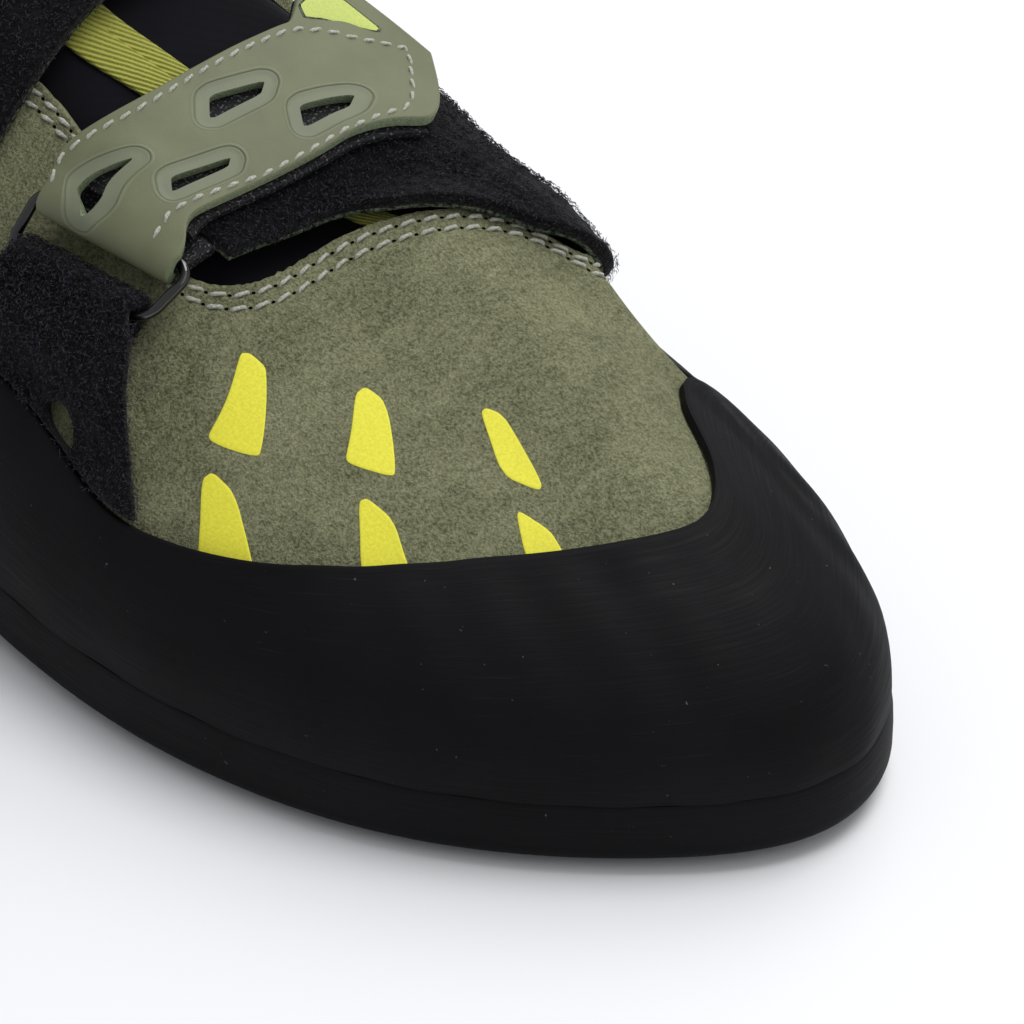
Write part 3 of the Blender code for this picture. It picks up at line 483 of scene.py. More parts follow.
class Cover:
    """Closed skin of the foot form, with the throat bridged, to lay straps and tongue on."""

    def __init__(self, around=540, levels=64, arc=48):
        places = np.linspace(0, ROWS, around, endpoint=False)
        grid_u, grid_h = np.meshgrid(places, np.linspace(0, 1, levels), indexing="ij")
        points = [form_point(grid_u, grid_h).reshape(-1, 3)]
        i, j = np.meshgrid(np.arange(around), np.arange(levels - 1), indexing="ij")
        a = (i * levels + j).ravel()
        b = (((i + 1) % around) * levels + j).ravel()
        faces = np.stack([a, b, b + 1, a + 1], 1).tolist()
        bridges = []
        first = around * levels
        for k in range(1, around // 2):
            w = np.linspace(0, 1, arc + 1)[1:-1]
            points.append(throat_arc(np.full(len(w), places[k]), w))
            bridges.append([k * levels + levels - 1] + list(range(first, first + arc - 1))
                           + [(around - k) * levels + levels - 1])
            first += arc - 1
        for near, far in zip(bridges, bridges[1:]):
            faces += [[near[m], far[m], far[m + 1], near[m + 1]] for m in range(arc)]
        self.tree = BVHTree.FromPolygons([tuple(p) for p in np.concatenate(points)], faces)

    def foot(self, x, degrees):
        """Place on the skin; a ray that slips through the tip of the throat moves back a little."""
        turn = math.radians(degrees)
        way = Vector((0.0, math.sin(turn), math.cos(turn)))
        for back in (0.0, 0.001, 0.004):
            start = Vector(((x - back) * LENGTH - HEEL_BACK, AXIS_Y * BALL_WIDTH,
                            AXIS_Z * INSTEP_HEIGHT))
            spot = self.tree.ray_cast(start, way)[0]
            if spot is not None:
                return np.array(spot)
        raise ValueError(f"no skin at {x} and {degrees} degrees")

    def at(self, x, degrees, offset):
        """Point over the form at share x of the length, turned round the foot axis."""
        spot = self.foot(x, degrees)
        across = self.foot(x, degrees + 2.0) - self.foot(x, degrees - 2.0)
        along = self.foot(x + 0.006, degrees) - self.foot(x - 0.006, degrees)
        normal = unit(np.cross(along, across))
        turn = math.radians(degrees)
        if normal @ np.array((0.0, math.sin(turn), math.cos(turn))) < 0:
            normal = -normal
        return spot + normal * offset, normal


COVER = Cover()


def spline_weights(knots, at):
    """Weights of a natural cubic spline through values at the knots, one row per place."""
    count = len(knots)
    h = np.diff(knots)
    left = np.eye(count)
    right = np.zeros((count, count))
    for i in range(1, count - 1):
        left[i, i - 1:i + 2] = (h[i - 1], 2 * (h[i - 1] + h[i]), h[i])
        right[i, i - 1:i + 2] = (6 / h[i - 1], -6 / h[i] - 6 / h[i - 1], 6 / h[i])
    bend = np.linalg.solve(left, right)
    i = np.clip(np.searchsorted(knots, at, side="right") - 1, 0, count - 2)
    step = h[i][:, None]
    a = ((knots[i + 1] - at) / h[i])[:, None]
    b = 1 - a
    eye = np.eye(count)
    return (a * eye[i] + b * eye[i + 1]
            + ((a**3 - a) * bend[i] + (b**3 - b) * bend[i + 1]) * step**2 / 6)


class Track:
    """Smooth surface through a grid of points with normals, measured in metres both ways."""

    def __init__(self, points, normals):
        self.points = np.asarray(points, float)
        self.normals = unit(np.asarray(normals, float))
        rows = np.linalg.norm(np.diff(self.points, axis=0), axis=2).mean(1)
        columns = np.linalg.norm(np.diff(self.points, axis=1), axis=2).mean(0)
        self.rows = np.concatenate([[0.0], np.cumsum(rows)])
        self.columns = np.concatenate([[0.0], np.cumsum(columns)])
        self.length = self.rows[-1]
        self.width = self.columns[-1]

    def blend(self, grid, a, b):
        """Grid values weighted along and across."""
        rows = (a @ grid.reshape(len(self.rows), -1)).reshape(len(a), len(self.columns), 3)
        return (b[:, :, None] * rows).sum(1)

    def frame(self, along, across):
        """Point and normal at flat places."""
        a = spline_weights(self.rows, np.asarray(along, float))
        b = spline_weights(self.columns, np.asarray(across, float))
        return self.blend(self.points, a, b), unit(self.blend(self.normals, a, b))

    def at(self, along, across, height):
        """Point at a height over flat places."""
        point, normal = self.frame(along, across)
        return point + normal * np.asarray(height, float)[..., None]

    def find(self, target, height=0.0):
        """Flat place on the track nearest to a point."""
        low = np.array([0.0, 0.0])
        high = np.array([self.length, self.width])
        for _ in range(4):
            a, b = np.meshgrid(np.linspace(low[0], high[0], 25), np.linspace(low[1], high[1], 25))
            spots = self.at(a.ravel(), b.ravel(), np.full(a.size, height))
            best = np.argmin(np.linalg.norm(spots - target, axis=1))
            centre = np.array([a.ravel()[best], b.ravel()[best]])
            span = (high - low) / 10
            low = np.maximum(centre - span, 0.0)
            high = np.minimum(centre + span, [self.length, self.width])
        return centre


def cross_line(table, share):
    """Cross line of a strap table; the share runs with the turn round the foot."""
    turns = np.array([(row[0] + row[2]) / 2 for row in table])
    shares = (turns - turns[0]) / (turns[-1] - turns[0])
    return [np.interp(share, shares, [row[i] for row in table]) for i in range(4)]


def level(height):
    """Same height over the form all along a strip."""
    return lambda share: height


def strap_grid(table, rows, columns, height, order=1, foot=(), beyond=0.0):
    """Control points and normals of a strap over the form; order -1 starts at the last row.

    height is given along the share of the strip, foot is the line that its last row follows,
    beyond widens it at the front."""
    points = np.zeros((rows, columns, 3))
    normals = np.zeros_like(points)
    last_rear_turn, last_rear, last_front_turn, last_front = table[-1]
    for i, share in enumerate(np.linspace(0, 1, rows)[::order]):
        rear_turn, rear, front_turn, front = cross_line(table, share)
        front += beyond / LENGTH
        for j, across in enumerate(np.linspace(0, 1, columns)):
            x = rear + (front - rear) * across
            turn = rear_turn + (front_turn - rear_turn) * across
            if foot:
                straight = last_rear_turn + (last_front_turn - last_rear_turn) * across
                end = last_rear + (last_front - last_rear) * across
                turn += share**2 * (table_at(foot, end) - straight)
            points[i, j], normals[i, j] = COVER.at(x, turn, height(share))
    return points, normals


class RingSeat:
    """Four-cornered patch between the strap fold (t = 0) and the tab fold (t = 1)."""

    def __init__(self, strap, tab):
        turn, rear, _, front = strap[0]
        self.lines = [self.bar(rear, front, turn, BAR_HEIGHT),
                      self.bar(rear, front, tab[0][0], TAB_BAR)]

    def bar(self, rear, front, turn, height):
        """Straight bar over the rounded form, lifted until its middle clears it."""
        ends = [COVER.at(x, turn, height)[0] for x in (rear, front)]
        crest, normal = COVER.at((rear + front) / 2, turn, height)
        lift = max(0.0, (crest - (ends[0] + ends[1]) / 2) @ normal)
        return [end + normal * lift for end in ends]

    def at(self, s, t):
        """Point at share s along the bars and share t from bar to bar."""
        near = self.lines[0][0] * (1 - s) + self.lines[0][1] * s
        far = self.lines[1][0] * (1 - s) + self.lines[1][1] * s
        return near * (1 - t) + far * t

    def settle(self, t, x_range, turn, height):
        """How far the straight bar lies off the rounded form along its length."""
        return np.array([self.at(j / (len(x_range) - 1), t) - COVER.at(x, turn, height)[0]
                         for j, x in enumerate(x_range)])


def folded_track(table, patch, t, grid, middle, radius, sheet, tail):
    """Track of a strap end or tab that runs over the form and folds under round a ring bar.

    t is 0 for the strap bar and 1 for the tab bar, radius is the fold's inner radius, tail the
    length that runs back under it and middle the tail's height over the form."""
    points, normals = grid
    columns = points.shape[1]
    turn, rear, _, front = table[0]
    x_range = np.linspace(rear, front, columns)
    moves = patch.settle(t, x_range, turn, TAB_BAR if t else BAR_HEIGHT)
    for row, part in zip((-1, -2, -3), FOLD_LIFT):
        points[row] += part * moves
    toward = math.copysign(1.0, turn) * (1 - 2 * t)
    over = unit(patch.at(0.5, 1) - patch.at(0.5, 0)) * (1 - 2 * t)
    bends = []
    ways = []
    for step in range(1, 8):
        angle = math.pi * step / 7
        row = []
        for j, x in enumerate(x_range):
            normal = COVER.at(x, turn, 0.0)[1]
            side = unit(over - normal * (over @ normal))
            way = normal * math.cos(angle) + side * math.sin(angle)
            row.append((patch.at(j / (columns - 1), t) + way * (radius + sheet / 2), way))
        bends.append([spot for spot, _ in row])
        ways.append([way for _, way in row])
    for part in (0.5, 1.0):
        turned = turn - toward * math.degrees(tail * part / FOLD_RADIUS)
        spots = [COVER.at(x, turned, middle) for x in x_range]
        bends.append([spot + move * (1 - 0.6 * part) for (spot, _), move in zip(spots, moves)])
        ways.append([-normal for _, normal in spots])
    return Track(np.concatenate([points, bends]), np.concatenate([normals, ways]))


def select_only(item):
    """Makes one object the selected and active one."""
    bpy.ops.object.select_all(action="DESELECT")
    item.select_set(True)
    bpy.context.view_layer.objects.active = item


def apply_modifiers(item):
    """Applies all modifiers in their order."""
    select_only(item)
    for modifier in list(item.modifiers):
        bpy.ops.object.modifier_apply(modifier=modifier.name)


def close_up(item, merge=2e-6):
    """Merges doubles and turns all faces outwards."""
    shape = bmesh.new()
    shape.from_mesh(item.data)
    bmesh.ops.remove_doubles(shape, verts=shape.verts, dist=merge)
    bmesh.ops.recalc_face_normals(shape, faces=shape.faces)
    shape.to_mesh(item.data)
    shape.free()


def mesh_item(name, points, faces, uv=None):
    """Object from points and faces; uv holds one flat place per face corner."""
    mesh = bpy.data.meshes.new(name)
    mesh.from_pydata(np.asarray(points).tolist(), [], faces)
    if uv is not None:
        mesh.uv_layers.new(name="flat").data.foreach_set("uv", np.asarray(uv, float).ravel())
    item = bpy.data.objects.new(name, mesh)
    bpy.context.scene.collection.objects.link(item)
    return item


def ring_faces(first, steps, count):
    """Quads between closed rings of count points that follow one another."""
    faces = []
    for start in range(first, first + steps * count, count):
        for j in range(count):
            a = start + j
            b = start + (j + 1) % count
            faces.append((a, b, b + count, a + count))
    return faces


def film(name, loops, crown, foot):
    """Thin closed film: loops of points from below to the top, and the middles of both faces."""
    count = len(loops[0])
    points = list(np.concatenate(loops)) + [crown, foot]
    faces = ring_faces(0, len(loops) - 1, count)
    last = (len(loops) - 1) * count
    faces += [(last + j, last + (j + 1) % count, len(points) - 2) for j in range(count)]
    faces += [((j + 1) % count, j, len(points) - 1) for j in range(count)]
    item = mesh_item(name, points, faces)
    close_up(item, 1e-7)
    return item


def net(name, grid, ring=False, loop=False, caps=False):
    """Quads over a grid of points, real lengths as UV; ring joins the rows, loop the columns."""
    rows, columns = grid.shape[:2]
    step = np.linalg.norm(np.roll(grid, -1, 0) - grid, axis=2).mean(1)
    rise = np.linalg.norm(np.roll(grid, -1, 1) - grid, axis=2).mean(0)
    along = np.concatenate([[0.0], np.cumsum(step)])
    across = np.concatenate([[0.0], np.cumsum(rise)])
    faces = []
    uv = []
    for i in range(rows if ring else rows - 1):
        for j in range(columns if loop else columns - 1):
            n = (i + 1) % rows
            m = (j + 1) % columns
            faces.append((i * columns + j, n * columns + j, n * columns + m, i * columns + m))
            uv += [(along[i], across[j]), (along[i + 1], across[j]),
                   (along[i + 1], across[j + 1]), (along[i], across[j + 1])]
    if caps:
        for i in (0, rows - 1):
            faces.append(tuple(range(i * columns, (i + 1) * columns)))
            uv += [(along[i], value) for value in across[:columns]]
    return mesh_item(name, grid.reshape(-1, 3), faces, uv)


def dress(item, materials, slot, *nodes, smooth=40.0):
    """Gives a finished piece its materials, shading and body, and hides the solids it stands for;
    slot is not used.
    """
    slots = np.zeros(len(item.data.polygons), int)
    item.data.polygons.foreach_get("material_index", slots)
    item.data.materials.clear()
    for material in materials:
        item.data.materials.append(material)
    item.data.polygons.foreach_set("material_index", slots)
    select_only(item)
    bpy.ops.object.shade_smooth_by_angle(angle=math.radians(smooth))
    apply_modifiers(item)
    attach(item, "root")
    if nodes:
        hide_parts(*nodes)


def blank(name, length, width, sheet, cell, rim):
    """Flat sheet of its real size round its middle plane, with rounded rims."""
    bpy.ops.object.select_all(action="DESELECT")
    bpy.ops.mesh.primitive_grid_add(x_subdivisions=max(2, round(length / cell)),
                                    y_subdivisions=max(2, round(width / cell)), size=1.0,
                                    location=(length / 2, width / 2, -sheet / 2))
    item = bpy.context.object
    item.name = name
    item.data.name = name
    item.scale = (length, width, 1.0)
    bpy.ops.object.transform_apply(location=True, rotation=False, scale=True)
    wall = item.modifiers.new("wall", "SOLIDIFY")
    wall.thickness = sheet
    wall.offset = 1.0
    edge = item.modifiers.new("rim", "BEVEL")
    edge.width = rim
    edge.segments = 3
    edge.limit_method = "ANGLE"
    edge.angle_limit = math.radians(60)
    apply_modifiers(item)
    return item


def corner_cut(corners, rounds=3, share=0.25):
    """Closed outline with rounded corners, by cutting each corner a few times."""
    spots = [np.array(c, float) for c in corners]
    for _ in range(rounds):
        spots = [p * (1 - t) + q * t for p, q in zip(spots, spots[1:] + spots[:1])
                 for t in (share, 1 - share)]
    return np.array(spots)


def cut_out(item, outlines):
    """Cuts holes of the given flat outlines through a flat sheet."""
    for outline in outlines:
        count = len(outline)
        points = [(x, y, z) for z in (-CUTTER_REACH, CUTTER_REACH) for x, y in outline]
        faces = [tuple(range(count))[::-1], tuple(range(count, 2 * count))]
        faces += ring_faces(0, 1, count)
        cutter = mesh_item("window_cutter", points, faces)
        close_up(cutter)
        cut = item.modifiers.new("window", "BOOLEAN")
        cut.operation = "DIFFERENCE"
        cut.solver = "EXACT"
        cut.object = cutter
        apply_modifiers(item)
        bpy.data.objects.remove(cutter, do_unlink=True)


def outline_distance(places, outline):
    """Distance of flat places from a closed outline, and which lie inside it."""
    best = np.full(len(places), 1.0)
    inside = np.zeros(len(places), bool)
    for p, q in zip(outline, np.roll(outline, -1, 0)):
        side = q - p
        share = np.clip(((places - p) @ side) / (side @ side), 0, 1)
        best = np.minimum(best, np.linalg.norm(places - (p + share[:, None] * side), axis=1))
        crosses = (p[1] > places[:, 1]) != (q[1] > places[:, 1])
        reach = (places[:, 1] - p[1]) / (side[1] if abs(side[1]) > 1e-12 else 1e-12)
        inside ^= crosses & (places[:, 0] < p[0] + reach * side[0])
    return best, inside


def flat_places(item):
    """Places of all points of a mesh."""
    flat = np.zeros(len(item.data.vertices) * 3)
    item.data.vertices.foreach_get("co", flat)
    return flat.reshape(-1, 3)


def corner_points(mesh):
    """Number of the point at each face corner."""
    corners = np.zeros(len(mesh.loops), int)
    mesh.loops.foreach_get("vertex_index", corners)
    return corners


def lay(item, track, relief=None):
    """Bends a flat sheet onto its track; its flat place in metres stays as the UV map."""
    mesh = item.data
    flat = flat_places(item)
    corners = corner_points(mesh)
    while mesh.uv_layers:
        mesh.uv_layers.remove(mesh.uv_layers[0])
    uv = np.stack([flat[corners, 0], flat[corners, 1] + flat[corners, 2]], 1)
    mesh.uv_layers.new(name="flat").data.foreach_set("uv", uv.ravel())
    height = flat[:, 2]
    if relief is not None:
        height = height + relief(flat)
    mesh.vertices.foreach_set("co", track.at(flat[:, 0], flat[:, 1], height).ravel())
    mesh.update()
    close_up(item)


def ripple(x, y, size, seed, terms=10):
    """Even, smooth unevenness between about -1 and 1 with a given feature size."""
    random = np.random.default_rng(seed)
    total = np.zeros_like(x)
    for _ in range(terms):
        turn = random.uniform(0, math.pi)
        wave = size * random.uniform(0.7, 1.6)
        phase = random.uniform(0, 2 * math.pi)
        total += np.sin(2 * math.pi * (x * math.cos(turn) + y * math.sin(turn)) / wave + phase)
    return total / math.sqrt(terms)


def creases(u, h):
    """Depth of the listed troughs and ridges in the suede."""
    depth = np.zeros_like(u)
    for u0, h0, u1, h1, width, height in CREASES:
        start = np.array((u0 * RING_STEP, h0 * WALL_RISE))
        side = np.array((u1 * RING_STEP, h1 * WALL_RISE)) - start
        spot = np.stack([u * RING_STEP, h * WALL_RISE], -1) - start
        share = np.clip((spot @ side) / (side @ side), 0, 1)
        away = np.linalg.norm(spot - share[..., None] * side, axis=-1)
        depth += height * np.exp(-(away / width)**2)
    fade = np.clip((1 - h) / 0.06, 0, 1)
    return depth * fade


def suede_skin(u, h, lift=0.0):
    """Outer face of the upper with its creases."""
    u = np.asarray(u, float)
    h = np.asarray(h, float)
    return layer(u, h, UPPER_WALL + creases(u, h) + lift)


def edge_level(u, distance):
    """Height share at a distance below the throat and collar edge."""
    one = np.ones_like(u)
    speed = np.linalg.norm(form_point(u, one) - form_point(u, 0.98 * one), axis=-1) / 0.02
    return 1 - distance / speed


class Line:
    """Path over a surface with its direction and normal at any distance along it."""

    def __init__(self, points, normals):
        self.points = points
        self.normals = normals
        steps = np.linalg.norm(np.diff(points, axis=0), axis=1)
        self.marks = np.concatenate([[0.0], np.cumsum(steps)])
        self.length = self.marks[-1]

    def between(self, values, distance):
        """Values at a distance, taken between the marks."""
        return np.stack([np.interp(distance, self.marks, values[:, i]) for i in range(3)], -1)

    def at(self, distance):
        """Point, direction and normal."""
        reach = 2e-4
        ahead = self.between(self.points, distance + reach)
        behind = self.between(self.points, distance - reach)
        return (self.between(self.points, distance), unit(ahead - behind),
                unit(self.between(self.normals, distance)))


def sew(name, lines, pitch, thread, share, slant, colours):
    """Lock stitches along lines: twisted thread humps (slot 0) between needle holes (slot 1), each
    hole a dark lens of painted shade.

    share is the part of the pitch that a hump takes, slant its turn sideways in metres."""
    points = []
    faces = []
    slots = []
    rings, sides = 9, 8
    angles = np.linspace(0, 2 * math.pi, sides, endpoint=False)
    for line in lines:
        count = int(line.length // pitch)
        own = line.length / max(count, 1)
        for k in range(count):
            x = np.linspace(0, 1, rings)
            point, way, normal = line.at((k + 0.5 * (1 - share) + share * x) * own)
            side = np.cross(normal, way)
            hump = np.sin(math.pi * x)
            centre = (point + normal * (thread * (0.68 * hump**0.35 - 0.32))[:, None]
                      + side * (slant * (x - 0.5))[:, None])
            first = len(points)
            for i in range(rings):
                radius = thread * 0.5 * (0.60 + 0.40 * hump[i])
                for angle in angles:
                    lobe = 1 + 0.17 * math.cos(2 * angle - 9.0 * x[i])
                    points.append(centre[i] + radius * lobe * (math.cos(angle) * normal[i]
                                                               + math.sin(angle) * side[i]))
            faces += ring_faces(first, rings - 1, sides)
            faces.append(tuple(range(first, first + sides)))
            faces.append(tuple(range(first + (rings - 1) * sides, first + rings * sides)))
            slots += [0] * ((rings - 1) * sides + 2)
            # Needle hole: a dark lens of painted shade laid on the surface
            hole, hole_way, hole_normal = [v[0] for v in line.at(np.array([k * own]))]
            hole_side = np.cross(hole_normal, hole_way)
            half_length = thread * NEEDLE_HOLE_LENGTH_SHARE / 2
            half_width = thread * NEEDLE_HOLE_WIDTH_SHARE / 2
            first = len(points)
            for angle in angles:
                points.append(hole + hole_normal * 0.00002
                              + half_length * math.cos(angle) * hole_way
                              + half_width * math.sin(angle) * hole_side)
            points.append(hole + hole_normal * 0.00006)
            points.append(hole - hole_normal * 0.00030)
            for j in range(sides):
                n = (j + 1) % sides
                faces += [(first + j, first + n, first + sides),
                          (first + n, first + j, first + sides + 1)]
            slots += [1] * (2 * sides)
    item = mesh_item(name, points, faces)
    item.data.polygons.foreach_set("material_index", slots)
    close_up(item, 1e-8)
    dress(item, [finish(bonded_thread, colours), finish(needle_hole_painted_shade, colours)], None, smooth=60)


def pile(name, feet, normals, seed, sizes, colours):
    """Short filament loops standing on a surface, one closed three-sided filament each."""
    reach, thread = sizes.loop_reach, sizes.loop_thread
    random = np.random.default_rng(seed)
    count = len(feet)
    spin = random.normal(size=(count, 3))
    way = unit(spin - normals * (spin * normals).sum(1, keepdims=True))
    side = np.cross(normals, way)
    span = reach * random.uniform(0.8, 2.2, (count, 1))
    lift = reach * random.uniform(0.25, 1.1, (count, 1))
    drift = reach * random.uniform(-0.5, 0.5, (count, 1))
    start = feet - normals * 0.00015
    knee = feet + way * span * 0.3 + normals * lift
    crown = (feet + way * span * 0.75 + normals * lift * random.uniform(0.5, 1.2, (count, 1))
             + side * drift)
    tip = (feet + way * span * 1.1 + side * drift * 1.5
           + normals * lift * random.uniform(-0.3, 0.9, (count, 1)))
    turns = [side, -0.5 * side + 0.866 * normals, -0.5 * side - 0.866 * normals]
    parts = [start] + [knee + turn * thread / 2 for turn in turns]
    parts += [crown + turn * thread / 2 for turn in turns] + [tip]
    points = np.stack(parts, 1).reshape(-1, 3)
    shape = ((0, 1, 2), (0, 2, 3), (0, 3, 1), (1, 4, 5, 2), (2, 5, 6, 3), (3, 6, 4, 1), (4, 7, 5),
             (5, 7, 6), (6, 7, 4))
    faces = [tuple(8 * k + v for v in face) for k in range(count) for face in shape]
    item = mesh_item(name, points, faces)
    close_up(item, 1e-9)
    dress(item, [finish(polyamide_filament_painted_sheen, colours)], "loop_pile", smooth=60)


def track_feet(track, height, densities, seed, holes=()):
    """Random places on a track's upper face and along its two long rims, away from holes.

    densities are those to a square metre of face and to a metre of rim."""
    density, rim = densities
    random = np.random.default_rng(seed)
    count = int(track.length * track.width * density)
    along = random.uniform(0, track.length, count)
    across = random.uniform(0, track.width, count)
    keep = np.ones(count, bool)
    for outline in holes:
        keep &= ~outline_distance(np.stack([along, across], 1), outline)[1]
    point, normal = track.frame(along[keep], across[keep])
    feet = [point + normal * height]
    ways = [normal]
    amount = int(track.length * rim)
    for edge, sign in ((0.0, -1), (track.width, 1)):
        along = random.uniform(0, track.length, amount)
        point, normal = track.frame(along, np.full(amount, edge))
        inner, _ = track.frame(along, np.full(amount, edge - sign * 0.001))
        side = unit(point - inner)
        feet.append(point + normal * height * random.uniform(-0.4, 1.0, (amount, 1)))
        ways.append(unit(side + 0.6 * normal))
    return np.concatenate(feet), np.concatenate(ways)


def add(tree, kind, settings=None, inputs=None):
    """Adds a shader node with its settings and its inputs, which are values or sockets."""
    node = tree.nodes.new(kind)
    for key, value in (settings or {}).items():
        setattr(node, key, value)
    for key, value in (inputs or {}).items():
        if isinstance(value, bpy.types.NodeSocket):
            tree.links.new(value, node.inputs[key])
        else:
            node.inputs[key].default_value = value
    return node


def start_material(name, roughness, specular, **sockets):
    """New material with its shader's even values set on the sockets."""
    material = bpy.data.materials.new(name)
    material.use_nodes = True
    shader = material.node_tree.nodes["Principled BSDF"]
    shader.inputs["Roughness"].default_value = roughness
    shader.inputs["Specular IOR Level"].default_value = specular
    for key, value in sockets.items():
        shader.inputs[key].default_value = value
    return material, material.node_tree, shader


def colour4(colour, gain=1.0):
    """Colour with a full last channel, lightened or darkened by a gain."""
    return (colour[0] * gain, colour[1] * gain, colour[2] * gain, 1.0)


def object_noise(tree, size, detail=3.0, roughness=0.5, stretch=(1.0, 1.0, 1.0), source="Object",
                 distortion=0.0):
    """Noise whose features have a real size in metres, stretched along each axis."""
    place = add(tree, "ShaderNodeTexCoord")
    scale = add(tree, "ShaderNodeMapping", inputs={"Vector": place.outputs[source],
                                                   "Scale": [1.0 / s for s in stretch]})
    return add(tree, "ShaderNodeTexNoise", inputs={
        "Vector": scale.outputs[0], "Scale": 1.0 / size, "Detail": detail, "Roughness": roughness,
        "Distortion": distortion}).outputs["Fac"]


def tinted(tree, pattern, low, high, dark, light):
    """Colour that runs from dark to light while a pattern runs from low to high."""
    share = add(tree, "ShaderNodeMapRange", inputs={
        "Value": pattern, "From Min": low, "From Max": high})
    return add(tree, "ShaderNodeMix", {"data_type": "RGBA"},
               {0: share.outputs[0], 6: dark, 7: light}).outputs[2]


def overlaid(tree, base, pattern, low, high, amount, colour):
    """Base with up to an amount of a colour over it while a pattern runs from low to high."""
    share = add(tree, "ShaderNodeMapRange", inputs={
        "Value": pattern, "From Min": low, "From Max": high, "To Max": amount})
    return add(tree, "ShaderNodeMix", {"data_type": "RGBA"},
               {0: share.outputs[0], 6: base, 7: colour}).outputs[2]


def shade(tree, shader, pattern, low, high, colour, dark, light):
    """Base colour between two shades of one colour while a pattern runs from low to high."""
    base = tinted(tree, pattern, low, high, colour4(colour, dark), colour4(colour, light))
    tree.links.new(base, shader.inputs["Base Color"])


def ridge(tree, value, centre, half):
    """Pattern that is 1 where a value meets the centre and 0 from half the ridge's width on."""
    away = add(tree, "ShaderNodeMath", {"operation": "SUBTRACT"}, {0: value, 1: centre})
    span = add(tree, "ShaderNodeMath", {"operation": "ABSOLUTE"}, {0: away.outputs[0]})
    return add(tree, "ShaderNodeMapRange", inputs={
        "Value": span.outputs[0], "From Min": 0.0, "From Max": half, "To Min": 1.0,
        "To Max": 0.0}).outputs[0]


def relief(tree, shader, *layers):
    """Relief on the shader's normal from layers of a pattern, a depth in metres and a strength."""
    normal = None
    for pattern, depth, strength in layers:
        inputs = {"Height": pattern, "Distance": depth, "Strength": strength}
        if normal is not None:
            inputs["Normal"] = normal
        normal = add(tree, "ShaderNodeBump", inputs=inputs).outputs[0]
    tree.links.new(normal, shader.inputs["Normal"])


def finish(maker, colours):
    """The material that a maker describes, made once."""
    return bpy.data.materials.get(maker.__name__) or maker(colours)


def brushed_suede(colours):
    """Split cowhide, buffed: a nap of about 0.4 mm in strokes and clouds of darker fibre."""
    material, tree, shader = start_material("brushed_suede", 0.95, 0.12, **{
        "Sheen Weight": 0.12, "Sheen Roughness": 0.4})
    shader.inputs["Sheen Tint"].default_value = colour4(from_hex("C4C39A"))
    nap = object_noise(tree, 0.00038, 2.0, 0.7)
    tuft = object_noise(tree, 0.0008, 3.0, 0.65, (1.0, 1.4, 1.0), distortion=0.3)
    stroke = object_noise(tree, 0.0055, 3.0, 0.6, (1.0, 1.8, 1.0), distortion=0.6)
    patch = object_noise(tree, 0.018, 2.0)
    grain = 0.0
    for pattern, low, high, share in ((nap, 0.36, 0.64, 0.48), (tuft, 0.38, 0.62, 0.24),
                                      (stroke, 0.38, 0.62, 0.15), (patch, 0.38, 0.62, 0.13)):
        part = add(tree, "ShaderNodeMapRange", inputs={
            "Value": pattern, "From Min": low, "From Max": high, "To Max": share})
        grain = add(tree, "ShaderNodeMath", {"operation": "ADD"},
                    {0: grain, 1: part.outputs[0]}).outputs[0]
    base = tinted(tree, grain, 0.0, 1.0, colour4(colours.suede_dark),
                  colour4(colours.suede_light))
    tree.links.new(base, shader.inputs["Base Color"])
    relief(tree, shader, (tuft, 0.00035, 0.7), (nap, 0.00040, 0.9))
    return material


def tanned_flesh_side(colours):
    """Flesh side of the hide, left as tanned: dull and paler than the outside."""
    material, tree, shader = start_material("tanned_flesh_side", 0.95, 0.15)
    fibre = object_noise(tree, 0.0007, 3.0)
    shade(tree, shader, fibre, 0.3, 0.7, colours.lining, 0.75, 1.15)
    relief(tree, shader, (fibre, 0.0002, 0.5))
    return material


def ground_rubber(colours):
    """Carbon-black climbing rubber, ground lengthwise on a belt: scores about 0.35 mm apart."""
    material, tree, shader = start_material("ground_rubber", 0.6, 0.10)
    score = object_noise(tree, 0.00035, 2.0, 0.6, (40.0, 1.0, 1.0), "UV", 0.2)
    grain = object_noise(tree, 0.00022, 2.0)
    cloud = object_noise(tree, 0.018, 3.0)
    speck = object_noise(tree, 0.0011, 2.0, 0.7)
    base = tinted(tree, cloud, 0.35, 0.65, colour4(colours.rubber, 0.85),
                  colour4(colours.rubber, 1.25))
    base = overlaid(tree, base, score, 0.60, 0.80, 0.05, colour4(colours.dust))
    base = overlaid(tree, base, speck, 0.735, 0.775, 0.55, colour4(colours.dust))
    tree.links.new(base, shader.inputs["Base Color"])
    dull = add(tree, "ShaderNodeMapRange", inputs={
        "Value": score, "From Min": 0.3, "From Max": 0.7, "To Min": 0.55, "To Max": 0.72})
    tree.links.new(dull.outputs[0], shader.inputs["Roughness"])
    relief(tree, shader, (score, 0.00006, 0.8), (grain, 0.00004, 0.5))
    return material


